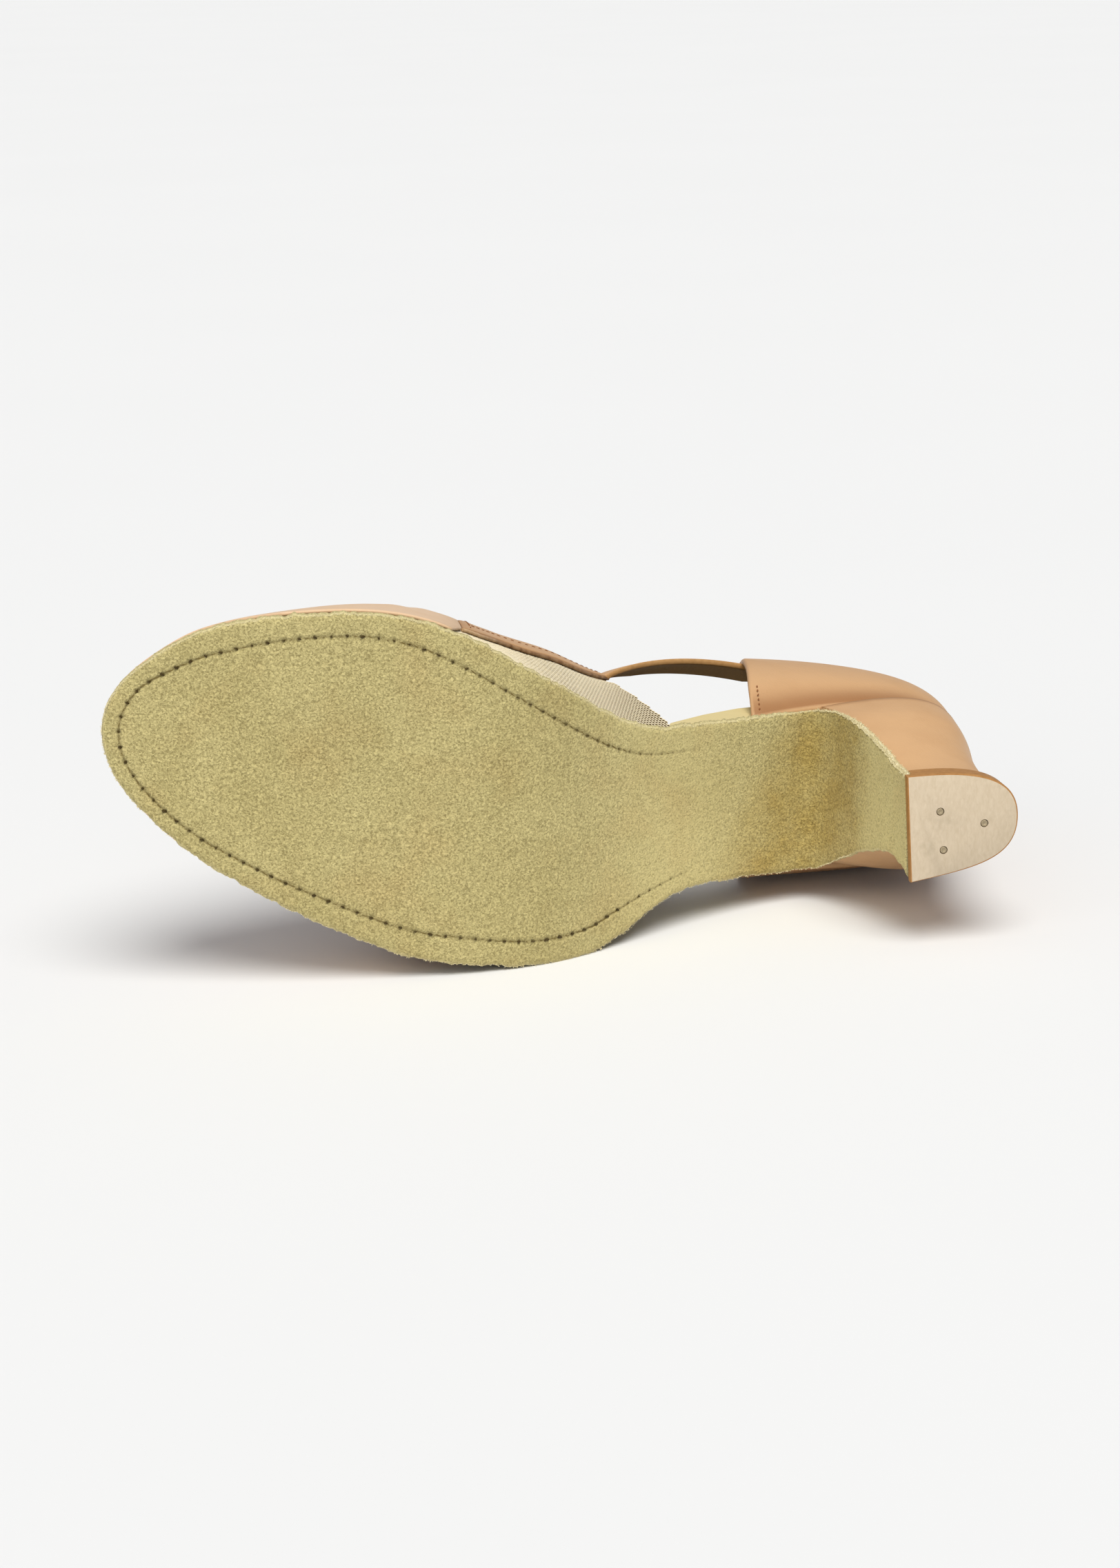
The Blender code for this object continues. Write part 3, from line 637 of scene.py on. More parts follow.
def suede_split():
    """Buffed suede split: short curly fibres lie in drifts, so it is dry, granular and mottled."""
    made, tree, shader, place = material("suede_split", Roughness=0.95, Specular_IOR_Level=0.12,
                                         Sheen_Weight=0.25, Sheen_Roughness=0.5, Sheen_Tint=linear("F2E6BC"))
    pale, bend, cut, stitch = (add(tree, "ShaderNodeAttribute", attribute_name=mark).outputs["Fac"]
                               for mark in ("pale", "bend", "cut", "stitch"))
    nap = add(tree, "ShaderNodeTexNoise", {"Vector": place, "Scale": per_mm(NAP_GRAIN), "Detail": 2.0,
                                           "Roughness": 0.55, "Distortion": 0.7})
    curl = add(tree, "ShaderNodeMapRange", {"Value": nap.outputs["Fac"], "From Min": 0.33, "From Max": 0.67})
    # The pale mark lifts the nap towards CDBF86: painted light on the breast, the edges and the waist, and
    # paler curls in the rubbed zone.
    lighter = add(tree, "ShaderNodeMath", {0: pale, 1: 0.4, 2: curl.outputs["Result"]},
                  operation="MULTIPLY_ADD")
    # Pits between the curls darkened towards 6F6030: painted shade in the hollows of the nap.
    pits = add(tree, "ShaderNodeTexVoronoi", {"Vector": place, "Scale": per_mm(NAP_PITS)})
    pit = add(tree, "ShaderNodeMapRange", {"Value": pits.outputs["Distance"], "From Min": 0.1,
                                           "From Max": 0.28, "To Min": 0.3, "To Max": 0.0})
    drift = add(tree, "ShaderNodeTexNoise", {"Vector": place, "Scale": per_mm(NAP_DRIFT), "Detail": 3.0})
    warm = add(tree, "ShaderNodeMapRange", {"Value": drift.outputs["Fac"], "From Min": 0.5, "From Max": 0.75,
                                            "To Max": 0.6})
    rub = add(tree, "ShaderNodeTexNoise", {"Vector": place, "Scale": per_mm(NAP_RUB), "Detail": 4.0,
                                           "Distortion": 0.8})
    wear_shade_and_stain = add(tree, "ShaderNodeMapRange", {"Value": rub.outputs["Fac"], "From Min": 0.55, "From Max": 0.3,
                                            "To Max": 0.6})
    cut, stitch = (add(tree, "ShaderNodeMath", {0: mark, 1: share}, operation="MULTIPLY", use_clamp=True)
                   for mark, share in ((cut, 0.8), (stitch, 0.75)))
    colour = linear("938759")
    for amount, tone, blend in (
        (lighter.outputs[0], "CDBF86", "MIX"),
        (pit.outputs["Result"], "6F6030", "MIX"),
        (warm.outputs["Result"], "F8EEE8", "MULTIPLY"),
        (wear_shade_and_stain.outputs["Result"], "EFEDE6", "MULTIPLY"),
        (bend, "E0D0A8", "MULTIPLY"),
        (cut.outputs[0], "EFE6C4", "MIX"),
        # The stitch mark is painted shade in the stitch channel and holes.
        (stitch.outputs[0], "4A3A16", "MIX"),
    ):
        mix = add(tree, "ShaderNodeMix", {0: amount, 6: colour, 7: linear(tone)}, data_type="RGBA",
                  blend_type=blend)
        colour = mix.outputs[2]
    bump = add(tree, "ShaderNodeBump", {"Height": nap.outputs["Fac"], "Strength": 0.8, "Distance": 0.0005})
    wire(tree, shader, Base_Color=colour, Normal=bump.outputs["Normal"])
    return made


def loose_fibre():
    """Fibres that stand out of a cut suede edge: paler than the nap, because light shines into them."""
    return two_tones("suede_fibre", "C6B780", "EADFB8", FIBRE_TONE, 1.0, Roughness=0.9, Sheen_Weight=0.3)[0]


def dyed_leather(name, code, darker, roughness=0.5):
    """Soft dyed side leather: satin, with a fine closed grain and slow changes of tone."""
    made, tree, shader, place = material(name, Specular_IOR_Level=0.38)
    cloud = add(tree, "ShaderNodeTexNoise", {"Vector": place, "Scale": per_mm(LEATHER_CLOUD), "Detail": 4.0})
    tone = add(tree, "ShaderNodeMapRange", {"Value": cloud.outputs["Fac"], "From Min": 0.45, "From Max": 0.8,
                                            "To Max": 0.16})
    # The shade mark is painted shade on the counter's foot, the heel's top, the toe's seam and the cut rims;
    # on the turned band edge it carries that edge's own darker dye.
    wear_shade_and_stain = add(tree, "ShaderNodeAttribute", attribute_name="shade")
    colour = linear(code)
    for amount in (tone.outputs["Result"], wear_shade_and_stain.outputs["Fac"]):
        mix = add(tree, "ShaderNodeMix", {0: amount, 6: colour, 7: linear(darker)}, data_type="RGBA")
        colour = mix.outputs[2]
    gloss = add(tree, "ShaderNodeMapRange", {"Value": cloud.outputs["Fac"], "From Min": 0.3,
                                             "From Max": 0.7, "To Min": roughness - GLOSS_PLAY,
                                             "To Max": roughness + GLOSS_PLAY})
    grain = add(tree, "ShaderNodeTexVoronoi", {"Vector": place, "Scale": per_mm(LEATHER_GRAIN)})
    slack = add(tree, "ShaderNodeTexNoise", {"Vector": place, "Scale": per_mm(LEATHER_SLACK), "Detail": 3.0})
    loose = add(tree, "ShaderNodeBump", {"Height": slack.outputs["Fac"], "Strength": 0.25,
                                         "Distance": 0.0006})
    bump = add(tree, "ShaderNodeBump", {"Height": grain.outputs["Distance"], "Strength": 0.22,
                                        "Distance": 0.00015, "Normal": loose.outputs["Normal"]})
    wire(tree, shader, Base_Color=colour, Roughness=gloss.outputs["Result"], Normal=bump.outputs["Normal"])
    return made


def knitted_net():
    """Knitted nylon net: fine bright threads with a soft sheen, a little uneven."""
    made, tree, shader, yarn = two_tones("knitted_net", "D6C498", "F8EBCC", YARN, Roughness=0.55,
                                         Sheen_Weight=0.3)
    bump = add(tree, "ShaderNodeBump", {"Height": yarn, "Strength": 0.4, "Distance": 0.0002})
    wire(tree, shader, Normal=bump.outputs["Normal"])
    return made


def plain_weave(name, code, darker):
    """Woven backing and lining cloth: matt, with a fine pattern of threads."""
    made, tree, shader, thread = two_tones(name, darker, code, YARN, Roughness=0.85, Specular_IOR_Level=0.15)
    bump = add(tree, "ShaderNodeBump", {"Height": thread, "Strength": 0.3, "Distance": 0.0002})
    wire(tree, shader, Normal=bump.outputs["Normal"])
    return made


def lift_leather():
    """Raw tanned lift, cut and sanded: pale and matt, with faint lines of fibre and grey scuffs."""
    made, tree, shader, place = material("lift_leather", Roughness=0.68, Specular_IOR_Level=0.3)
    drawn = add(tree, "ShaderNodeMapping", {"Vector": place, "Scale": (1.0, 1.0, 0.4)})
    fibre = add(tree, "ShaderNodeTexNoise", {"Vector": drawn.outputs["Vector"], "Scale": per_mm(LIFT_FIBRE),
                                             "Detail": 4.0, "Distortion": 0.6})
    scuff = add(tree, "ShaderNodeTexNoise", {"Vector": place, "Scale": per_mm(LIFT_SCUFF), "Detail": 5.0})
    grey = add(tree, "ShaderNodeMapRange", {"Value": scuff.outputs["Fac"], "From Min": 0.56, "From Max": 0.75,
                                            "To Max": 0.5})
    colour = linear("B6A489")
    for amount, tone in ((fibre.outputs["Fac"], "CEBEA6"), (grey.outputs["Result"], "A99A80")):
        mix = add(tree, "ShaderNodeMix", {0: amount, 6: colour, 7: linear(tone)}, data_type="RGBA")
        colour = mix.outputs[2]
    bump = add(tree, "ShaderNodeBump", {"Height": fibre.outputs["Fac"], "Strength": 0.35, "Distance": 0.0002})
    wire(tree, shader, Base_Color=colour, Normal=bump.outputs["Normal"])
    return made


def edge_dressing(name, code, darker):
    """Stained and waxed cut edge or thread: brown, satin, a little streaky."""
    return two_tones(name, darker, code, DYE_STREAK, 3.0, Roughness=0.5, Specular_IOR_Level=0.25)[0]


def dull_steel():
    """Drawn steel pin, ground off with the lift: grey, with a soft broken shine."""
    made, tree, shader, brushed = two_tones("dull_steel", "9C8E74", "C6B79A", STEEL_BRUSH, 3.0, Metallic=1.0)
    gloss = add(tree, "ShaderNodeMapRange", {"Value": brushed, "To Min": 0.55, "To Max": 0.8})
    wire(tree, shader, Roughness=gloss.outputs["Result"])
    return made


def studio_floor():
    """Matt painted studio floor: even and pale."""
    return two_tones("painted_floor", "E0E0E0", "E2E2E2", FLOOR_MOTTLE, Roughness=0.9)[0]


LOOKS = {
    "suede": suede_split(),
    "fibre": loose_fibre(),
    "toe": dyed_leather("toe_leather", "E0C09E", "B08A5A"),
    "tan": dyed_leather("tan_leather", "C89F73", "8A582C"),
    "net": knitted_net(),
    "backing": plain_weave("net_backing", "6C5636", "40301A"),
    "lining": plain_weave("lining_cloth", "D3BE93", "B59E70"),
    "insole": dyed_leather("insole_kid", "D6C48E", "BFA970", 0.6),
    "strap_lining": plain_weave("strap_lining_suede", "94733A", "6C5022"),
    "strap_rim": edge_dressing("strap_edge_dye", "C59A66", "9A7040"),
    "band_edge": dyed_leather("turned_edge_leather", "D2AE82", "6E4824"),
    "lift": lift_leather(),
    "lift_edge": edge_dressing("lift_edge_dye", "B6854E", "8E6232"),
    "steel": dull_steel(),
    "sole_thread": edge_dressing("waxed_sole_thread", "84723C", "5E4E26"),
    # Thread knots in the sole's stitch holes, their near-black colour painted shade of the holes
    "shaded_knot": edge_dressing("shaded_thread_knot", "4E3E1A", "30250E"),
    "thread": edge_dressing("tan_thread", "9A6437", "6E3F1E"),
}


# Sole

SOLE_STEP = 0.5  # spacing of the sole's points
SOLE_COLUMNS = 150
TOE_ROWS = 60
FLAP_FINE = 450  # steps in which the flap's length is measured
STITCH_FINE = 200  # points of the stitch line's outline up to the toe
STITCH_STEP = 0.25
OUTLINE_STEP = 0.3  # spacing of the points that stand for the outline
SKEW_ROWS = (6.5, 9.0)  # rows over which the flap's end is skewed
JOIN_REACH = 24  # rows each side of the waist that are eased into the flap
JOIN_PASSES = 150
RAGGED = ((0.45, 1.1), (0.4, 4.0))  # how far the cut edge wanders, and over what length
WALL_STEPS = 3  # faces up the sole's cut edge
WALL_FUZZ = (0.3, 0.8)  # height and grain of the fuzz on it
WALL_BULGE = 0.25
NAP_HEIGHT = 0.09
NAP_WAVES = ((0.7, 1.0), (0.8, 14.0))  # share and grain of the nap's unevenness
NAP_CURL = 0.9  # share of the long curls where the suede is rubbed
EDGE_ROUND = (1.3, 0.45)  # width and depth of the round that wear leaves along the sole's edge
GROOVE = (0.30, 0.34)  # half width and depth of the stitch channel
HOLE = (0.50, 0.80)  # radius and depth of a stitch hole
STITCH_SHADE = (0.75, 0.9)  # how dark the painted shade is in channel and holes
STITCH_FAINT = 0.3  # what is left of both where the line fades

# Where the suede is bent round the heel and rubbed dark: place and reach along the flap's rows and across it
BEND_PATCHES = (
    {"row": 4.2, "across": 0.14, "long": 1.3, "wide": 0.16, "dark": 0.5},
    {"row": 4.0, "across": 0.50, "long": 1.6, "wide": 0.20, "dark": 0.4},
    {"row": 2.8, "across": 0.80, "long": 2.0, "wide": 0.20, "dark": 0.35},
    {"row": 0.3, "across": 0.90, "long": 1.6, "wide": 0.14, "dark": 0.25},
    {"row": 0.7, "across": 0.56, "long": 1.2, "wide": 0.14, "dark": 0.3},
    {"row": 1.9, "across": 0.24, "long": 1.0, "wide": 0.16, "dark": 0.4},
)
BEND_START = lines(  # row where the rubbed zone begins, from the inner edge to the outer
    "across row",
    (0.0, 0.9),
    (0.5, 0.0),
    (1.0, -1.0),
)
BEND_BASE = 0.42  # how dark the zone is between the patches
BEND_SOFT = 1.4  # rows over which it begins
BEND_WANDER = (0.8, 8.0)  # how far that line wanders, in rows, and over what length
BEND_FADE = (4.9, 5.9)  # rows over which the dark ends above the lift
FADE_WANDER = (0.4, 5.0)
BEND_EVEN = 0.95  # share of the dark that isn't mottled
BEND_MOTTLE = ((0.35, 6.0), (0.2, 2.0))
BEND_MOST = 0.85
LONG_CURL = (3.0, 0.8, 3.0)  # grain of the curls there along X, Y and Z
ROW_LENGTH = 7.0  # length of sole that counts as one row before the flap
FLAP_WAVES = ((6.0, -0.06), (4.6, 0.1), (2.6, -0.08))  # row and height of its soft cross folds
WAVE_WIDE = 0.4  # half width of a fold, in rows
WAVE_SLANT = 0.5  # rows by which it slants from edge to edge
WAVE_WANDER = (0.3, 9.0)
PAINTED_LIGHT_ROWS = (5.0, 6.1)  # rows over which painted light brightens the heel's breast above the lift
EDGE_HIGHLIGHT = (0.7, 0.6)  # width and share of the painted highlight along its edge
WAIST_LIGHT = (82.0, 18.0)  # place and reach of painted light on the waist
PALE_CURL = 0.6
CUT_LINE = (0.5, 0.25)  # width and share of the cut's lighter line on the face
CUT_PALE = lines(  # how light the cut edge is along the flap, on the inner side
    "row share",
    (1.5, 0.1),
    (4.0, 0.6),
    (7.0, 1.0),
)
CUT_OUTER = 0.2  # share of that on the outer side


def sole_outline(x):
    """Points along the sole's edge: out along the inner side, round the tip and back along the outer."""
    medial, lateral = sole_edges(x)
    inner = np.column_stack([x, medial, underside(x)])
    outer = np.column_stack([x, lateral, underside(x)])
    return np.concatenate([inner, outer[-2::-1]])


def stitch_path():
    """The sole's stitch line, in from its outline."""
    bend = LENGTH - TOE_ROUND
    x = np.concatenate([np.linspace(STITCH_FROM, bend, STITCH_FINE), toe_spacing(bend, LENGTH, TOE_ROWS)[1:]])
    outline = sole_outline(x)
    edge = along(outline, np.arange(0, lengths(outline)[-1], STITCH_STEP))
    way = unit(np.gradient(edge[:, :2], axis=0))
    inset = STITCH_INSET["inset"](np.linspace(0, 1, len(edge)))
    plan = edge[:, :2] + np.column_stack([way[:, 1], -way[:, 0]]) * inset[:, None]
    return np.column_stack([plan, underside(plan[:, 0])])


def nearest(points, others):
    """Distance from each point to the nearest of the others."""
    tree = kdtree.KDTree(len(others))
    for i, p in enumerate(others):
        tree.insert(Vector(p), i)
    tree.balance()
    return np.array([tree.find(Vector(p))[2] for p in points])


def sole_rows():
    """The sole's rows from the flap's end to the tip.

    Returns each row's number on the flap, its shown x, z and edges, and its hidden x, z and trim.
    """
    fine = np.linspace(FLAP_END, 0, FLAP_FINE)
    run = lengths(np.column_stack([FLAP["x"](fine), FLAP["z"](fine)]))
    row = np.interp(np.arange(0, run[-1], SOLE_STEP), run, fine)
    bend = LENGTH - TOE_ROUND
    x = np.concatenate([np.arange(FLAP["x"](0), bend, SOLE_STEP), toe_spacing(bend, LENGTH, TOE_ROWS)])
    medial, lateral = sole_edges(x)
    shown = np.column_stack([FLAP[key](row) for key in ("x", "z", "medial", "lateral")])
    shown = np.concatenate([shown, np.column_stack([x, underside(x), medial, lateral])])
    hidden = np.column_stack([FLAP_BACK[key](row) for key in ("x", "z", "trim")])
    hidden = np.concatenate([hidden, np.column_stack([x, bed(x), np.zeros(len(x))])])
    join = len(row)
    row = np.concatenate([row, np.zeros(len(x))])
    near = slice(join - JOIN_REACH, join + JOIN_REACH)
    for _ in range(JOIN_PASSES):
        padded = shown[join - JOIN_REACH - 1:join + JOIN_REACH + 1, :2]
        shown[near, :2] = (padded[:-2] + 2 * padded[1:-1] + padded[2:]) / 4
    shown[:, 2] -= EDGE_TRIM["in"](shown[:, 0])
    for column in (2, 3):
        edge = shown[:, [0, column, 1]]
        shown[:, column] += unevenness(edge, *RAGGED) * toe_rounding(shown[:, 0], LENGTH)
    return row, shown, hidden


def flap_skew(row):
    """How far back the flap's outer edge lies at a row."""
    return FLAP_SKEW * np.interp(row, SKEW_ROWS, (0, 1))


def sole_face(row, shown):
    """The sole's face before its relief: points, normals, and how far each point is in from the sides."""
    share = np.linspace(0, 1, SOLE_COLUMNS + 1)
    x, z, medial, lateral = (shown[:, k, None] for k in range(4))
    y = medial + (lateral - medial) * share
    face = np.stack([x - flap_skew(row)[:, None] * share, y, np.broadcast_to(z, y.shape)], -1)
    normal = unit(np.cross(np.gradient(face, axis=0), np.gradient(face, axis=1)))
    normal[-1] = normal[-2, SOLE_COLUMNS // 2]
    if normal[len(row) // 2, SOLE_COLUMNS // 2, 2] > 0:
        normal = -normal
    return face, normal, np.minimum(medial - y, y - lateral).reshape(-1)


def rubbed(flat, fold, across):
    """How dark the suede is rubbed round the heel, at points with their row and share across."""
    dark = sum(p["dark"] * np.exp(-((fold - p["row"]) / p["long"]) ** 2
                                  - ((across - p["across"]) / p["wide"]) ** 2) for p in BEND_PATCHES)
    begun = (fold - BEND_START["row"](across) + unevenness(flat, BEND_WANDER)) / BEND_SOFT + 0.5
    dark += BEND_BASE * np.clip(begun, 0, 1)
    dark *= np.interp(fold + unevenness(flat, FADE_WANDER), BEND_FADE, (1, 0))
    return np.clip(dark * (BEND_EVEN + unevenness(flat, *BEND_MOTTLE)), 0, BEND_MOST)


def sole_relief(row, shown, flat, border):
    """Heights over the points of the sole's face, and the marks that its material reads."""
    on_sole = np.repeat(row == 0, SOLE_COLUMNS + 1)
    outline = sole_outline(shown[row == 0, 0])
    outline = along(outline, np.arange(0, lengths(outline)[-1] + OUTLINE_STEP, OUTLINE_STEP))
    border[on_sole] = np.minimum(border[on_sole], nearest(flat[on_sole], outline))
    path = stitch_path()
    holes = along(path, np.arange(0, lengths(path)[-1], STITCH_PITCH))
    fade = np.interp(flat[:, 0], (STITCH_FROM, STITCH_FROM + STITCH_FADE), (STITCH_FAINT, 1))
    groove = fade * np.exp(-(nearest(flat, path) / GROOVE[0]) ** 2)
    hole = fade * np.exp(-(nearest(flat, holes) / HOLE[0]) ** 2)
    across = np.tile(np.linspace(0, 1, SOLE_COLUMNS + 1), len(row))
    fold = np.repeat(row - np.maximum(0, shown[:, 0] - FLAP["x"](0)) / ROW_LENGTH, SOLE_COLUMNS + 1)
    bend = rubbed(flat, fold, across)
    curls = rough(flat, LONG_CURL)
    height = NAP_HEIGHT * (unevenness(flat, *NAP_WAVES) + NAP_CURL * bend * curls)
    height -= np.maximum(GROOVE[1] * groove, HOLE[1] * hole)
    by_edge, edge_highlight, on_cut = (deep * np.clip(1 - border / wide, 0, 1) ** power for (wide, deep), power in
                                ((EDGE_ROUND, 2), (EDGE_HIGHLIGHT, 1), (CUT_LINE, 1)))
    height -= by_edge
    wave = fold + WAVE_SLANT * (across - 0.5) + unevenness(flat, WAVE_WANDER)
    for fold_row, tall in FLAP_WAVES:
        height += tall * np.exp(-((wave - fold_row) / WAVE_WIDE) ** 2)
    waist, reach = WAIST_LIGHT
    # The pale mark: painted light on the breast, along the edges and on the waist, plus paler long curls
    # where the suede is rubbed.
    pale = np.interp(fold, PAINTED_LIGHT_ROWS, (0, 1)) + edge_highlight + np.exp(-((flat[:, 0] - waist) / reach) ** 2)
    pale += PALE_CURL * bend * np.maximum(0, curls)
    # Painted shade: the stitch mark darkens the suede in the channel and the holes.
    stitch = np.maximum(STITCH_SHADE[0] * groove, STITCH_SHADE[1] * hole)
    marks = {"bend": bend, "pale": np.clip(pale, 0, 1), "cut": on_cut, "stitch": np.clip(stitch, 0, 1)}
    return height, marks


def cut_walls(row, shown, hidden, face):
    """Rows of points up the suede's cut edge from its face to its back, inner side first."""
    walls = []
    for column, edge, sign in ((0, 2, 1), (SOLE_COLUMNS, 3, -1)):
        skew = flap_skew(row) if sign < 0 else 0
        top = np.column_stack([hidden[:, 0] - skew, shown[:, edge] - sign * hidden[:, 2], hidden[:, 1]])
        low = face[:, column]
        for step in range(1, WALL_STEPS):
            part = step / WALL_STEPS
            ring = low + (top - low) * part
            fuzz = unevenness(ring, WALL_FUZZ) + WALL_BULGE * math.sin(math.pi * part)
            ring[:, 1] += sign * fuzz * toe_rounding(shown[:, 0], LENGTH)
            walls.append(ring)
        walls.append(top)
    return walls


def make_sole():
    """Suede sole with its flap: returns its rows for the fibres of its edge."""
    row, shown, hidden = sole_rows()
    face, normal, border = sole_face(row, shown)
    height, marks = sole_relief(row, shown, face.reshape(-1, 3), border)
    grid = np.arange(height.size).reshape(face.shape[:2])
    face = face + normal * height[grid][..., None]
    walls = cut_walls(row, shown, hidden, face)
    strips = list(height.size + np.arange(len(walls) * len(row)).reshape(len(walls), -1))
    inner = np.column_stack([grid[:, 0]] + strips[:WALL_STEPS])
    outer = np.column_stack([grid[:, -1]] + strips[WALL_STEPS:])
    faces = quads(grid) + quads(inner) + quads(outer) + quads(np.column_stack([inner[:, -1], outer[:, -1]]))
    faces.append(grid[0].tolist() + outer[0, 1:].tolist() + inner[0, :0:-1].tolist())
    cut = CUT_PALE["share"](row)
    cut = np.concatenate([np.tile(cut, WALL_STEPS), np.tile(CUT_OUTER * cut, WALL_STEPS)])
    marks = {key: np.concatenate([value, cut if key == "cut" else np.zeros(len(cut))])
             for key, value in marks.items()}
    points = np.concatenate([face.reshape(-1, 3)] + walls)
    make("suede_sole", points, faces, [LOOKS["suede"]], ["outsole"], marks=marks, sharp=180)
    return row, shown, hidden


THREAD_STEP = 0.3
THREAD_RADIUS = 0.15
THREAD_SIDES = 6
THREAD_DIP = (0.8, 0.48, 0.6)  # depth in a hole, rise between two holes, and how fast it rises
KNOT_SIZE = (0.62, 0.22)  # half length and half width
KNOT_DEPTH = 0.2
KNOT_UNEVEN = 0.5
KNOT_SWELL = lines(  # wear leaves the knots small at both ends of the line
    "run size",
    (0.00, 0.15),
    (0.05, 0.3),
    (0.12, 0.65),
    (0.30, 1.0),
    (0.92, 1.0),
    (0.96, 0.6),
    (1.00, 0.2),
)


def make_stitching():
    """Waxed thread that dips into each stitch hole of the sole, with its knots."""
    path = stitch_path()
    place = np.arange(0, lengths(path)[-1], THREAD_STEP)
    line = along(path, place)
    deep, rise, power = THREAD_DIP
    line[:, 2] += deep - rise * np.abs(np.sin(math.pi * place / STITCH_PITCH)) ** power
    way = unit(np.gradient(line, axis=0))
    across = unit(np.cross(way, (0.0, 0.0, 1.0)))
    line += across * (STITCH_SLANT * np.sin(2 * math.pi * place / STITCH_PITCH))[:, None]
    points, faces = tube(line, across, np.cross(way, across), (THREAD_RADIUS, THREAD_RADIUS), THREAD_SIDES)
    make("sole_stitching", points, faces, [LOOKS["sole_thread"]])
    # Knots sunk in the holes: real thread, coloured near-black as painted shade of the holes.
    down = np.tile((0.0, 0.0, -1.0), (len(path), 1))
    swell = KNOT_SWELL["size"](np.linspace(0, 1, len(path)))
    sunk = path - KNOT_DEPTH * down
    points, faces = stitch_row(sunk, down, STITCH_PITCH, KNOT_SIZE, 0.0, KNOT_UNEVEN, swell)
    make("sole_stitch_knots", points, faces, [LOOKS["shaded_knot"]])


EDGE_FIBRES = 9000
FIBRE_RADIUS = 0.075
FIBRE_MIDDLE = 0.55  # share of a fibre's length where it bends
FIBRE_TAPER = 0.8  # its thickness there
FIBRE_TIP = (0.85, 0.5)  # how far its tip stands out and is bent over
FIBRE_ROOT = 0.1  # how deep it is rooted
FIBRE_WAY = (0.6, 1.1, 0.45)  # how much it stands out, lies along the edge and strays
FIBRE_LENGTH = (0.2, 0.5)
FLAP_CUT = 2.5  # row from which the flap's edge is thick with fibres
FLAP_THICKER = 3.0
FLAP_LONGER = 0.45
INNER_SHARE = 0.62  # share of the fibres on the inner side
INNER_ONLY = 5  # row from which all are there
DEPTH_POWER = 1.6  # draws the fibres towards the shown face


def fibre_mesh(roots, ways, bends, sizes):
    """Thin tapered fibres, each from its root along its way and bent over; seven points to a fibre."""
    side = unit(np.cross(ways, bends + 1e-3))
    other = unit(np.cross(ways, side))
    turns = np.arange(3) * 2 * math.pi / 3
    ring = side[:, None] * np.cos(turns)[:, None] + other[:, None] * np.sin(turns)[:, None]
    ring *= FIBRE_RADIUS
    middle = roots + ways * sizes[:, None] * FIBRE_MIDDLE
    tip = roots + (ways * FIBRE_TIP[0] + bends * FIBRE_TIP[1]) * sizes[:, None]
    points = np.concatenate([roots[:, None] + ring, middle[:, None] + ring * FIBRE_TAPER, tip[:, None]], 1)
    base = np.arange(len(roots))[:, None] * points.shape[1]
    faces = []
    for k, n in ((0, 1), (1, 2), (2, 0)):
        faces += (base + np.array([[k, n, 3 + n, 3 + k]])).tolist()
        faces += (base + np.array([[3 + k, 3 + n, 6]])).tolist()
    faces += (base + np.array([[2, 1, 0]])).tolist()
    return points.reshape(-1, 3), faces


def make_edge_nap(row, shown, hidden):
    """Fibres along the sole's cut edge, thickest where the flap is cut at the heel."""
    chance = np.random.default_rng(7)
    weight = np.where(row > FLAP_CUT, FLAP_THICKER, 1.0)
    weight = weight * np.linalg.norm(np.gradient(shown[:, :3], axis=0), axis=1)
    picks = chance.choice(len(row), EDGE_FIBRES, p=weight / weight.sum())
    sign = np.where(chance.random(EDGE_FIBRES) < INNER_SHARE, 1, -1)
    sign = np.where(row[picks] > INNER_ONLY, 1, sign)
    inner = sign > 0
    depth = chance.random(EDGE_FIBRES) ** DEPTH_POWER
    front, back = shown[picks], hidden[picks]
    edge = np.where(inner, front[:, 2], front[:, 3])
    roots = np.column_stack([front[:, 0] + (back[:, 0] - front[:, 0]) * depth,
                             edge - back[:, 2] * depth * sign - FIBRE_ROOT * sign,
                             front[:, 1] + (back[:, 1] - front[:, 1]) * depth])
    inner_way, outer_way = (np.gradient(shown[:, [0, column, 1]], axis=0)[picks] for column in (2, 3))
    lengthwise = unit(np.where(inner[:, None], inner_way, outer_way))
    out = np.column_stack([-lengthwise[:, 1] * sign, lengthwise[:, 0] * sign, np.zeros(EDGE_FIBRES)])
    out = unit(np.where((out[:, 1] * sign < 0)[:, None], -out, out))
    spread = chance.normal(0, 1, (EDGE_FIBRES, 3))
    ways = unit(FIBRE_WAY[0] * out + FIBRE_WAY[1] * lengthwise * spread[:, :1] + FIBRE_WAY[2] * spread)
    bends = unit(chance.normal(0, 1, (EDGE_FIBRES, 3)))
    sizes = chance.uniform(*FIBRE_LENGTH, EDGE_FIBRES)
    sizes = sizes + np.where((row[picks] > FLAP_CUT) & inner, FLAP_LONGER, 0.0)
    points, faces = fibre_mesh(roots, ways, bends, sizes)
    make("sole_edge_nap", points, faces, [LOOKS["fibre"]])


# Upper

VAMP_TUCK = 0.025  # how far the backing runs on behind the throat, in runs of the vamp's grid
VAMP_ROWS = 91
VAMP_LINES = 121


def over(grid, height):
    """The grid moved out by a height, and the directions away from the foot."""
    normal = outward(grid)
    return lifted(grid, normal, height), normal


def make_vamp():
    """Backing of the vamp under net and leather, from feather edge to feather edge."""
    inner = vamp_grid(np.linspace(-VAMP_TUCK, 2, VAMP_ROWS), np.linspace(0, 1, VAMP_LINES))
    points, faces, sides = shell(over(inner, BACKING)[0], inner, 2)
    looks = [LOOKS["backing"], LOOKS["lining"], LOOKS["lining"]]
    make("vamp_backing", points, faces, looks, ["upper"], sides=sides)


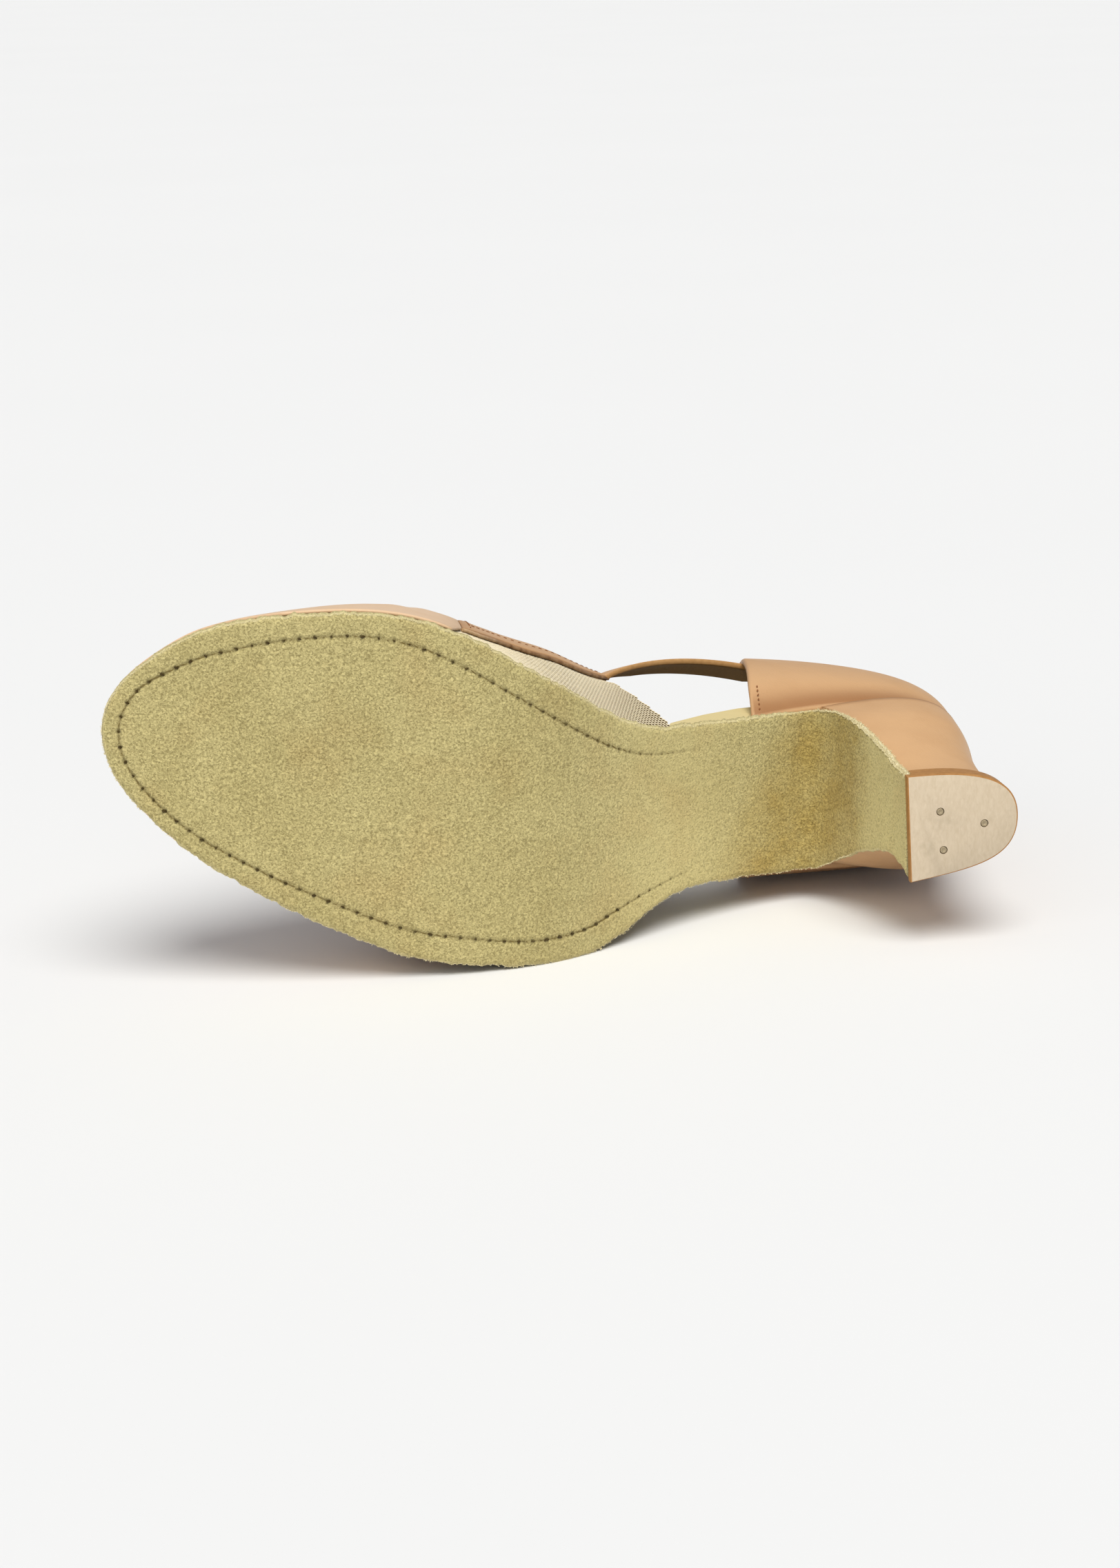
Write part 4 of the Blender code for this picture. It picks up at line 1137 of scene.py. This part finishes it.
OVERLAY_ROWS = 90
TOE_LINES = 141
BAND_LINES = 111
SEAM_PLAY = (0.004, 0.006)  # how far toe leather and band keep from the toe's seam, in runs
BAND_PLAY = 0.004  # how far the band keeps inside its lower edges, in grid lines
SEAM_DIP = (0.35, 0.02)  # depth and reach of the dip along the seam
SEAM_SHADE = (0.35, 0.03)  # darkness and reach of the painted shade in that dip
RIM_SHADE = 0.3  # darkness of the painted shade that dims the light on the cut rims
CREASE_RIDGE = (0.6, 1.9)  # share and distance of the ridges beside a crease

# Soft creases where the vamp bends in walking: place along the shoe, bow, middle and reach over grid lines
CREASES = (
    {"x": 152.0, "bow": -5.0, "middle": 0.45, "half": 0.24, "wide": 2.2, "deep": 0.22},
    {"x": 160.0, "bow": -6.0, "middle": 0.52, "half": 0.2, "wide": 2.6, "deep": 0.18},
    {"x": 128.0, "bow": 3.0, "middle": 0.46, "half": 0.16, "wide": 2.0, "deep": 0.2},
    {"x": 118.0, "bow": 4.0, "middle": 0.54, "half": 0.18, "wide": 2.4, "deep": 0.16},
)


def make_overlays():
    """Toe leather, and the band over the instep, as skins over the vamp."""
    toe_run = np.linspace(1 + SEAM_PLAY[0], 2, OVERLAY_ROWS)
    band_run = np.linspace(0, 1 - SEAM_PLAY[1], OVERLAY_ROWS)
    band_line = np.linspace(BAND_MARK + BAND_PLAY, 1 - BAND_MARK - BAND_PLAY, BAND_LINES)
    for name, node, run, line, look in (
        ("toe_cap_leather", "toe_cap", toe_run, np.linspace(0, 1, TOE_LINES), "toe"),
        ("instep_leather", "instep_band", band_run, band_line, "tan"),
    ):
        inner = vamp_grid(run, line)
        normal = outward(inner)
        dip, stain_and_shade = (deep * np.exp(-(np.abs(run - 1) / reach)) for deep, reach in (SEAM_DIP, SEAM_SHADE))
        height = np.full(inner.shape[:2], OVERLAY_TO) - dip[:, None]
        for crease in CREASES:
            reach = (line - crease["middle"]) / crease["half"]
            off = (inner[..., 0] - crease["x"] - crease["bow"] * reach ** 2) / crease["wide"]
            fold = np.exp(-off ** 2) - CREASE_RIDGE[0] * np.exp(-(np.abs(off) - CREASE_RIDGE[1]) ** 2)
            height -= crease["deep"] * fold * np.exp(-reach ** 4)
        points, faces, sides = shell(lifted(inner, normal, height), lifted(inner, normal, OVERLAY_FROM))
        # Painted shade: in the dip along the toe's seam, and over the cut rims to dim the light on them.
        shade = np.full(len(points), RIM_SHADE)
        shade[:height.size] = np.repeat(stain_and_shade, len(line))
        make(name, points, faces, [LOOKS[look], LOOKS["lining"], LOOKS[look]], [node],
             sides=sides, marks={"shade": shade})


NET_PITCH = 1.1  # from hole to hole along the shoe
NET_ROW = 1.6  # from row to row up the wall; the cells are pulled long over the last
NET_SIDES = 12
NET_HOLE = (0.78, 0.72)  # share of a cell that is open, at the top and inside
NET_FOOT = 0.75  # height of the net's underside
NET_CROWN = 0.04  # how far the corners of its cells stand up
NET_ROUND = 0.1  # how far its threads are rounded towards the holes
NET_PULL = 0.16  # how far its cells are pulled about
NET_WARP = (3.1, 3.7)  # grain of that pull, along and up
WARP_APART = 50  # keeps the two pulls unlike
NET_HEIGHT = 48.0
NET_BACK = 80.0
NET_FRONT = 147.0
NET_BEYOND = 4.0  # how far it is unrolled past its front
NET_STEPS = (120, 40)  # steps in which it is unrolled, along and up
NET_SHARE = 0.32  # share of the section up to which it is unrolled
NET_UNDER = (0.012, 1.4)  # how far it runs on under the band, as a share, and behind the throat
NET_SLOPE = 0.2  # step in which its slope is measured


class NetSide:
    """One side of the vamp unrolled: u runs forward along the feather edge, v up the wall."""

    def __init__(self, sign):
        self.sign = sign
        self.x = np.linspace(NET_BACK, NET_FRONT + NET_BEYOND, NET_STEPS[0])
        self.u = lengths(vamp_points(self.x, self.share(np.zeros(NET_STEPS[0]))))

    def share(self, share):
        return share if self.sign > 0 else 1 - share

    def points(self, u, v):
        """Place along the shoe, share of the section and inside of the vamp, at lengths along and up."""
        x = np.interp(u, self.u, self.x)
        steps = np.linspace(0, NET_SHARE, NET_STEPS[1])
        wall = vamp_points(x[:, None], self.share(steps)[None, :])
        run = np.cumsum(np.linalg.norm(np.diff(wall, axis=1), axis=2), axis=1)
        run = np.concatenate([np.zeros((len(x), 1)), run], 1)
        share = np.array([np.interp(a, b, steps) for a, b in zip(v, run)])
        return x, share, vamp_points(x, self.share(share))

    def placed(self, u, v, height):
        """Points at a height over the wall."""
        spots = np.column_stack([u, v, np.zeros(len(u))])
        u = u + NET_PULL * rough(spots, NET_WARP[0])
        v = v + NET_PULL * rough(spots + WARP_APART, NET_WARP[1])
        here, ahead, above = (self.points(u + a, v + b)[2] for a, b in
                              ((0, 0), (NET_SLOPE, 0), (0, NET_SLOPE)))
        normal = unit(np.cross(ahead - here, above - here))
        normal *= np.sign(normal[:, 1] * self.sign)[:, None]
        return here + normal * height[:, None]


def make_net(name, sign):
    """Hexagonal net with real holes over one side of the vamp."""
    side = NetSide(sign)
    rows = int(NET_HEIGHT / NET_ROW)
    pull = NET_ROW / (NET_PITCH * math.sqrt(3) / 2)
    corner = NET_PITCH / math.sqrt(3)
    count = int(side.u[-1] / NET_PITCH)
    j, i = np.meshgrid(np.arange(rows), np.arange(count), indexing="ij")
    u = ((i + 0.5 * (j % 2)) * NET_PITCH).reshape(-1)
    v = (j * NET_ROW + corner * pull + NET_PULL).reshape(-1)
    x, share, _ = side.points(u, v)
    edge = band_edge(x, sign > 0)
    line = BAND_MARK * share / edge
    rear = VAMP_ENDS["rear"](line if sign > 0 else 1 - line)
    keep = (share < edge + NET_UNDER[0]) & (x > rear - NET_UNDER[1]) & (x < NET_FRONT)
    u, v = u[keep], v[keep]
    turns = np.arange(NET_SIDES) * 2 * math.pi / NET_SIDES + math.pi / 6
    at_corner = np.arange(NET_SIDES) % 2 == 0
    rim = np.where(at_corner, corner, NET_PITCH / 2)
    crown = np.where(at_corner, NET_TOP + NET_CROWN, NET_TOP)
    top, inside = (hole * NET_PITCH / 2 for hole in NET_HOLE)
    parts = []
    for radius, height in ((rim, crown), (top, NET_TOP - NET_ROUND), (inside, NET_FOOT), (rim, NET_FOOT)):
        ring_u = u[:, None] + np.cos(turns) * radius
        ring_v = v[:, None] + np.sin(turns) * radius * pull
        tall = np.broadcast_to(height, ring_u.shape).reshape(-1)
        parts.append(side.placed(ring_u.reshape(-1), ring_v.reshape(-1), tall))
    total = len(u) * NET_SIDES
    ring = np.arange(total).reshape(-1, NET_SIDES)
    after = np.roll(ring, -1, 1)
    faces, sides = [], []
    # The walls of the holes and the underside take the backing's dark look: painted shade in the holes.
    for step, hidden in ((0, 0), (1, 1), (2, 1)):
        low, high = step * total, (step + 1) * total
        faces += np.stack([ring + low, after + low, after + high, ring + high], -1).reshape(-1, 4).tolist()
        sides += [hidden] * total
    # A rim that no other cell shares is open, and gets a wall
    middle = np.stack([(at + np.roll(at, -1, 1)).reshape(-1) for at in (ring_u, ring_v)], -1)
    _, which, uses = np.unique(np.round(middle, 3), axis=0, return_inverse=True, return_counts=True)
    free = uses[which.reshape(-1)] == 1
    near, far = ring.reshape(-1)[free], after.reshape(-1)[free]
    faces += np.stack([near, far, far + 3 * total, near + 3 * total], -1).tolist()
    sides += [0] * int(free.sum())
    looks = [LOOKS["net"], LOOKS["backing"]]
    make(name, np.concatenate(parts), faces, looks, ["upper"], sides=sides)


EDGE_RUN = (-0.02, 1.0)  # from behind the throat to the toe's seam
EDGE_STEPS = 140
EDGE_SLOPE = 0.012  # grid lines each side from which the slope is measured
EDGE_HEIGHT = 1.75
EDGE_WAVER = (0.14, 1.6)
EDGE_SECTION = (0.44, 0.46)  # half width and half height
EDGE_SIDES = 10
EDGE_STAIN = lines(  # how dark it is along its run
    "run dark",
    (0.72, 0.75),
    (0.90, 0.1),
)
EDGE_MOTTLE = (0.35, 1.1)


def make_binding(name, sign):
    """Turned edge along the band's lower side, down to where it meets the sole."""
    run = np.linspace(*EDGE_RUN, EDGE_STEPS)
    line = BAND_MARK if sign > 0 else 1 - BAND_MARK
    grid = vamp_grid(run, np.array([-EDGE_SLOPE, 0.0, EDGE_SLOPE]) + line)
    normal = outward(grid)[:, 1]
    centre = grid[:, 1] + normal * (EDGE_HEIGHT + unevenness(grid[:, 1], EDGE_WAVER))[:, None]
    way = unit(np.gradient(centre, axis=0))
    points, faces = tube(centre, unit(np.cross(way, normal)), normal, EDGE_SECTION, EDGE_SIDES)
    stain_and_shade = np.clip(EDGE_STAIN["dark"](run) + unevenness(centre, EDGE_MOTTLE), 0, 1)
    make(name, points, faces, [LOOKS["band_edge"]], marks={"shade": np.repeat(stain_and_shade, EDGE_SIDES)})


COUNTER_LEVELS = 46
COUNTER_HALF = 60  # points of a level on each side
TROUGH = (0.35, 0.13, 0.07)  # depth, level and reach of the trough above the heel's seam
COUNTER_FOOT_SHADE = (0.75, 0.13)  # darkness and reach of the painted shade along that seam


def make_counter():
    """Leather counter with its lining, a soft trough above the heel's seam, and painted shade along that
    seam.
    """
    levels = np.linspace(0, 1, COUNTER_LEVELS)
    inner = counter_grid(levels, COUNTER_HALF)
    deep, level, reach = TROUGH
    trough = deep * np.exp(-((levels - level) / reach) ** 2)[:, None]
    height = np.full(inner.shape[:2], COUNTER_WALL) - trough
    points, faces, sides = shell(over(inner, height)[0], inner)
    # Painted shade, darkest at the heel's seam and fading up the counter.
    shade = np.zeros(len(points))
    dark, reach = COUNTER_FOOT_SHADE
    shade[:height.size] = np.repeat(dark * np.exp(-(levels / reach) ** 2), inner.shape[1])
    looks = [LOOKS["tan"], LOOKS["lining"], LOOKS["tan"]]
    make("counter_leather", points, faces, looks, ["upper"], sides=sides, marks={"shade": shade})


STRAP_LINES = 9
STRAP_STEPS = 40
STRAP_TUCK = 3  # rows of a strap that are sewn in under the band and the counter
STRAP_UNDER = 0.12  # how far it reaches under the band, in runs of the vamp's grid
BOW_EARLY = 0.75  # draws its bow towards the band
LEAN_FULL = 0.25  # share of its length over which its lean grows from half to full
STRAP_RIM = 0.3  # how round its cut edges are


def make_strap(name, sign):
    """Strap from under the instep band to inside the counter, with dyed edges."""
    first = sign > 0
    which = 0 if first else 1
    bow, lean, sink, upto = (pair[which] for pair in (STRAP_BOW, STRAP_LEAN, STRAP_SINK, STRAP_UPTO))
    lines_up = np.linspace(BAND_MARK, STRAP_MARK, STRAP_LINES)
    front = vamp_grid(np.linspace(STRAP_UNDER, 0, STRAP_TUCK + 1), lines_up if first else 1 - lines_up)
    back = counter_grid(np.linspace(STRAP_FROM, upto, STRAP_LINES), COUNTER_HALF)
    back = (back if first else back[:, ::-1])[:, :STRAP_TUCK + 1].transpose(1, 0, 2)
    share = np.linspace(0, 1, STRAP_STEPS)[1:-1, None, None]
    span = front[-1] * (1 - share) + back[0] * share
    early = share ** BOW_EARLY
    span[..., 1] += (sign * bow * 4 * early * (1 - early))[..., 0]
    inner = np.concatenate([front, span, back])
    normal = outward(inner)
    passed = np.concatenate([np.zeros(len(front)), share.reshape(-1), np.ones(len(back))])[:, None]
    inner = inner - normal * (sink * passed)[..., None]
    leaning = 0.5 + 0.5 * np.clip(passed / LEAN_FULL, 0, 1)
    inner[..., 1] -= sign * lean * leaning * np.linspace(0, 1, STRAP_LINES)
    points, faces, sides = shell(inner + normal * STRAP_WALL, inner + normal * STRAP_LINING, full=STRAP_RIM)
    looks = [LOOKS["tan"], LOOKS["strap_lining"], LOOKS["strap_rim"]]
    make(name, points, faces, looks, ["upper"], sides=sides)


# Places along a stitch, and its width there
BEAD = ((-1.0, 0.3), (-0.6, 0.9), (0.0, 1.0), (0.6, 0.9), (1.0, 0.3))
BEAD_SIDES = 6


def stitch_row(path, normal, pitch, size, start=0.5, uneven=0.1, swell=1.0):
    """Short threads sunk along a path, a little uneven: points and faces of small long beads."""
    chance = np.random.default_rng(3)
    run = lengths(path)
    places = np.arange(pitch * start, run[-1], pitch)
    centres = along(path, places)
    ways = unit(along(np.gradient(path, axis=0), places))
    ups = unit(along(normal, places))
    grown = np.interp(places, run, np.broadcast_to(swell, run.shape))
    turns = np.arange(BEAD_SIDES) * 2 * math.pi / BEAD_SIDES
    bead = np.arange(len(BEAD) * BEAD_SIDES).reshape(len(BEAD), BEAD_SIDES)
    points, faces = [], []
    for centre, straight, up, growth in zip(centres, ways, ups, grown):
        way = unit(straight + np.cross(straight, up) * (uneven + 0.5 * uneven * chance.normal()))
        side = np.cross(way, up)
        long, wide = (s * growth * (1 + uneven * chance.uniform(-1, 1)) for s in size)
        faces += closed(len(points) + bead)
        for place, width in BEAD:
            for turn in turns:
                ring = (side * math.cos(turn) + up * math.sin(turn)) * width * wide
                points.append(centre + way * place * long + ring)
    return np.array(points), faces


# Stitches of the upper: pitch and half length
COUNTER_STITCH = (1.9, 0.5)
TOE_STITCH = (2.6, 0.75)
BAND_STITCH = (2.8, 0.75)
STITCH_WIDE = 0.2  # half width
COUNTER_SEAM = (0.01, 0.22, 30)  # from level to level, in so many steps
COUNTER_SEAM_IN = 0.6  # how far in from the counter's front edge, in columns
TOE_SEAM = (0.93, 0.97, 3)  # runs round the row by the toe's seam
TOE_SEAM_STEPS = 90
BAND_SEAM = (0.02, 0.95, 60)  # from run to run
BAND_SEAM_IN = 0.035  # how far in from the band's lower edge, in grid lines
SEAM_SLOPE = 0.01  # grid lines each side from which the slope is measured


def make_seams():
    """Rows of stitches: by the counter's front edge, by the toe's seam and along the band's lower edge."""
    outer, normal = over(counter_grid(np.linspace(*COUNTER_SEAM), COUNTER_HALF), COUNTER_WALL)
    rows = []
    for a, b in ((0, 1), (-1, -2)):
        path = outer[:, a] * (1 - COUNTER_SEAM_IN) + outer[:, b] * COUNTER_SEAM_IN
        rows.append((path, normal[:, b], COUNTER_STITCH))
    line = np.linspace(BAND_MARK + SEAM_SLOPE, 1 - BAND_MARK - SEAM_SLOPE, TOE_SEAM_STEPS)
    outer, normal = over(vamp_grid(np.linspace(*TOE_SEAM), line), OVERLAY_TO)
    rows.append((outer[1], normal[1], TOE_STITCH))
    for near in (BAND_MARK + BAND_SEAM_IN, 1 - BAND_MARK - BAND_SEAM_IN):
        line = near + np.array([-SEAM_SLOPE, 0, SEAM_SLOPE])
        outer, normal = over(vamp_grid(np.linspace(*BAND_SEAM), line), OVERLAY_TO)
        rows.append((outer[:, 1], normal[:, 1], BAND_STITCH))
    points, faces = [], []
    for path, up, (pitch, long) in rows:
        more, beads = stitch_row(path, up, pitch, (long, STITCH_WIDE))
        start = sum(len(p) for p in points)
        points.append(more)
        faces += [[i + start for i in face] for face in beads]
    make("upper_stitching", np.concatenate(points), faces, [LOOKS["thread"]])


# Insole, heel and lift

INSOLE_ROWS = (30, 110, 24)  # round the heel, along the foot and round the toe
INSOLE_COLUMNS = 41
INSOLE_FINE = 80  # points of the counter's curve that its heel keeps inside


def insole_edges(x):
    """Inside the counter's wall at the heel, otherwise in from the sole's edge."""
    if x >= INSOLE_HEEL:
        return sole_edges(x, INSOLE["inset"](x))
    edges = []
    for side in ("medial", "lateral"):
        front = (COUNTER["front_x"](0), COUNTER["front_" + side](0))
        back = COUNTER["back_x"](0) + INSOLE_PLAY
        curve = d_curve(front, COUNTER["side_" + side](0), back, COUNTER["full"](0), INSOLE_FINE)[::-1]
        edge = np.interp(x, curve[:, 0], curve[:, 1])
        edges.append(edge - math.copysign(min(INSOLE_PLAY, abs(edge)), edge))
    return edges


def make_insole():
    """Footbed with a rim that rises round the heel and fades out along the waist."""
    back = COUNTER["back_x"](0) + INSOLE_PLAY
    bend, tip = LENGTH - TOE_ROUND, LENGTH - INSOLE["inset"](LENGTH)
    heel, foot, toe = INSOLE_ROWS
    x = np.concatenate([toe_spacing(INSOLE_HEEL, back, heel)[:0:-1], np.linspace(INSOLE_HEEL, bend, foot),
                        toe_spacing(bend, tip, toe)[1:]])
    share = np.linspace(0, 1, INSOLE_COLUMNS)
    reach = np.maximum(0, np.abs(2 * share - 1) - INSOLE_CURL_FROM) / (1 - INSOLE_CURL_FROM)
    heel_reach = np.clip(1 - (x - back) / INSOLE_HEEL_RIM, 0, 1)
    reach = np.maximum(reach, heel_reach[:, None])
    edges = np.array([insole_edges(at) for at in x])
    y = edges[:, :1] + (edges[:, 1:] - edges[:, :1]) * share
    low = np.stack(np.broadcast_arrays(x[:, None], y, (bed(x) + GAP)[:, None]), -1)
    high = low.copy()
    high[..., 2] += INSOLE_THICK + INSOLE["curl"](x)[:, None] * reach ** INSOLE_CURL
    points, faces, sides = shell(high, low, 1)
    make("sock_insole", points, faces, [LOOKS["insole"]] * 3, ["insole"], sides=sides)


HEEL_HALF = 48  # points of a ring on each side
HEEL_STEPS = 44
HEEL_TURN = (0.7, 0.8)  # how far the cover's top edge is turned in, and how high
HEEL_TOP_SHADE = lines(  # how dark the painted shade is on the first rings, where the top tucks in under the counter
    "ring dark",
    (0, 1.0),
    (1, 0.5),
    (3, 0.0),
)


def heel_ring(row):
    """Outline of the heel block at one row, from the inner front corner round to the outer."""
    at = {key: column(row) for key, column in HEEL.items()}
    front_x, front_z = FLAP_BACK["x"](row) - GAP, FLAP_BACK["z"](row)
    halves = []
    for side, sign in (("medial", 1), ("lateral", -1)):
        corner = (front_x, FLAP[side](row) - sign * BREAST_INSET)
        plan = d_curve(corner, at["side_" + side], at["back_x"], HEEL_SQUARE, HEEL_HALF)
        share = (front_x - plan[:, 0]) / (front_x - at["back_x"])
        level = bed(plan[:, 0]) if row == FLAP_CORNER else front_z + (at["back_z"] - front_z) * share
        halves.append(np.column_stack([plan, np.minimum(level, bed(plan[:, 0]))]))
    return np.concatenate([halves[0], halves[1][-2::-1]])


def make_heel():
    """Leather-covered heel block, its top edge turned in under the counter."""
    rings = [heel_ring(row) for row in np.linspace(FLAP_CORNER, FLAP_ROWS, HEEL_STEPS + 1)]
    top = rings[0]
    turned = top - unit((top - top.mean(0)) * (1, 1, 0)) * HEEL_TURN[0]
    rings[0] = top - np.array((0, 0, HEEL_TURN[1]))
    rings = np.array([turned] + rings)
    count = rings.shape[1]
    faces = closed(np.arange(len(rings) * count).reshape(-1, count))
    # Painted shade on the rings tucked in under the counter.
    shade = np.repeat(HEEL_TOP_SHADE["dark"](np.arange(len(rings))), count)
    make("heel_cover", rings.reshape(-1, 3), faces, [LOOKS["tan"]], ["heel"], marks={"shade": shade})


LIFT_HALF = 41  # points of its outline on each side
LIFT_BEVEL = 0.4
BEVEL_ROUND = 0.3  # share of the bevel at which its middle ring lies
REBATE = (2.2, 1.7)  # height and depth of the step in the lift's front that takes the suede's end
PIN_WELL = 0.12  # clear ring round each pin
WELL_CUT = (4.0, -0.6)  # length and middle height of the cut for a well
PIN_SIDES = 32


def make_lift():
    """Top piece of the heel with eased edges and a well for each pin; its sides are stained."""
    inner, outer = (bezier((corner, side, back, LIFT_APEX), np.linspace(0, 1, LIFT_HALF))
                    for corner, side, back in zip(LIFT_CORNERS, LIFT_SIDES, LIFT_BACK))
    plan = np.concatenate([inner, outer[-2::-1]])
    middle = plan.mean(0)
    corner, other = LIFT_CORNERS
    front = np.interp(plan[:, 1], (other[1], corner[1]), (other[0], corner[0]))
    stepped = np.column_stack([np.minimum(plan[:, 0], front - REBATE[1]), plan[:, 1]])
    eased = LIFT_BEVEL * BEVEL_ROUND
    rings = []
    for outline, inset, z in ((plan, LIFT_BEVEL, 0.0), (plan, eased, eased), (plan, 0.0, LIFT_BEVEL),
                              (plan, 0.0, REBATE[0]), (stepped, 0.0, REBATE[0]), (stepped, 0.0, LIFT_THICK)):
        moved = outline - unit(outline - middle) * inset
        rings.append(np.column_stack([moved, np.full(len(plan), z)]))
    points = np.concatenate(rings)
    faces = closed(np.arange(len(points)).reshape(len(rings), -1))
    sides = [1] * (len(faces) - 2) + [0, 0]
    looks = [LOOKS["lift"], LOOKS["lift_edge"]]
    lift = make("heel_lift_leather", points, faces, looks, ["heel_lift"], sides=sides, sharp=35)
    cutters = bmesh.new()
    radius = PIN_RADIUS + PIN_WELL
    for x, y in PIN_PLACES:
        bmesh.ops.create_cone(cutters, cap_ends=True, segments=PIN_SIDES, radius1=radius, radius2=radius,
                              depth=WELL_CUT[0], matrix=Matrix.Translation((x, y, WELL_CUT[1])))
    tool_mesh = bpy.data.meshes.new("pin_wells")
    cutters.to_mesh(tool_mesh)
    cutters.free()
    tool_mesh.transform(Matrix.Translation(SHIFT) @ Matrix(TURN / 1000).to_4x4())
    tool = bpy.data.objects.new("pin_wells", tool_mesh)
    bpy.context.scene.collection.objects.link(tool)
    cut = lift.modifiers.new("pin wells", "BOOLEAN")
    cut.object = tool
    bpy.context.view_layer.update()
    cut_mesh = bpy.data.meshes.new_from_object(lift.evaluated_get(bpy.context.evaluated_depsgraph_get()))
    lift.modifiers.clear()
    lift.data = cut_mesh
    bpy.data.objects.remove(tool, do_unlink=True)


PIN_PROFILE = (  # radius and height, from the dimple over the rim to the foot
    (0.0, 0.2),
    (0.3, 0.16),
    (0.45, 0.06),
    (0.7, 0.04),
    (0.82, 0.1),
    (PIN_RADIUS, 0.3),
    (PIN_RADIUS, 1.3),
    (0.0, 1.3),
)


def make_pins():
    """Ground pins with a rounded rim and a small dimple."""
    turns = np.linspace(0, 2 * math.pi, PIN_SIDES, endpoint=False)
    index = np.arange(len(PIN_PROFILE) * PIN_SIDES).reshape(-1, PIN_SIDES)
    for number, (x, y) in enumerate(PIN_PLACES, 1):
        points = np.concatenate([np.column_stack([x + r * np.cos(turns), y + r * np.sin(turns),
                                                  np.full(PIN_SIDES, z)]) for r, z in PIN_PROFILE])
        make(f"lift_pin_{number}", points, round_faces(index), [LOOKS["steel"]],
             [f"lift_nail_{number}"])


# Stage, light and camera

CAMERA_TURN = 9.0  # degrees about the shoe's height
CAMERA_RISE = 13.0  # degrees over the shoe's middle plane
CAMERA_ROLL = 2.0  # degrees
CAMERA_AIM = (112.0, 8.2, 20.0)  # in the shoe's frame
CAMERA_FAR = 800.0  # millimetres from the aim
PHOTO_HEIGHT = 2274  # pixels
PIXELS_PER_MM = 5.95  # at the aim


def make_camera():
    """Camera on the sole's side, where the photo was taken from."""
    turn, rise, roll = (math.radians(a) for a in (CAMERA_TURN, CAMERA_RISE, CAMERA_ROLL))
    look = np.array((-math.sin(turn) * math.cos(rise), -math.sin(rise), math.cos(turn) * math.cos(rise)))
    right = np.array((-math.cos(turn), 0.0, -math.sin(turn)))
    up = np.cross(right, look)
    right, up = right * math.cos(roll) + up * math.sin(roll), up * math.cos(roll) - right * math.sin(roll)
    place = TURN @ (np.array(CAMERA_AIM) - look * CAMERA_FAR) / 1000 + SHIFT
    axes = np.column_stack([TURN @ right, TURN @ up, TURN @ -look])
    data = bpy.data.cameras.new("camera")
    data.lens = data.sensor_width * PIXELS_PER_MM * CAMERA_FAR / PHOTO_HEIGHT
    camera = bpy.data.objects.new("camera", data)
    camera.matrix_world = Matrix.Translation(place) @ Matrix(axes).to_4x4()
    bpy.context.scene.collection.objects.link(camera)
    bpy.context.scene.camera = camera


FLOOR_REACH = 20.0  # metres
# Strength, spread, and tilt, lean and turn in degrees: overhead, and lower from the front left
KEY = (3.05, 42.0, 27.0, 3.0, 0.0)
FILL = (0.9, 66.0, 66.0, 0.0, -34.0)
KEY_COLOUR = "FFFDF8"
SKY_STRENGTH = 0.31
SKY_COLOUR = "E8EFFC"


def make_stage():
    """Pale floor, a soft light overhead, a wider one from the front left, and even light all round."""
    mesh = bpy.data.meshes.new("floor")
    r = FLOOR_REACH
    mesh.from_pydata([(-r, -r, 0), (r, -r, 0), (r, r, 0), (-r, r, 0)], [], [(0, 1, 2, 3)])
    mesh.materials.append(studio_floor())
    floor = bpy.data.objects.new("floor", mesh)
    bpy.context.scene.collection.objects.link(floor)
    for name, (strength, spread, *turns) in (("overhead", KEY), ("front", FILL)):
        light = bpy.data.lights.new(name, "SUN")
        light.energy = strength
        light.color = linear(KEY_COLOUR)[:3]
        light.angle = math.radians(spread)
        lamp = bpy.data.objects.new(name, light)
        lamp.rotation_euler = [math.radians(turn) for turn in turns]
        bpy.context.scene.collection.objects.link(lamp)
    world = bpy.data.worlds.new("studio")
    world.use_nodes = True
    sky = world.node_tree.nodes["Background"]
    sky.inputs["Color"].default_value = linear(SKY_COLOUR)
    sky.inputs["Strength"].default_value = SKY_STRENGTH
    bpy.context.scene.world = world
    bpy.context.scene.view_settings.view_transform = "Standard"


make_edge_nap(*make_sole())
make_stitching()
make_vamp()
make_overlays()
for side_name, side_sign in (("inner", 1), ("outer", -1)):
    make_net(f"vamp_net_{side_name}", side_sign)
    make_binding(f"band_edge_{side_name}", side_sign)
    make_strap(f"strap_{side_name}", side_sign)
make_counter()
make_seams()
make_insole()
make_heel()
make_lift()
make_pins()
make_camera()
make_stage()
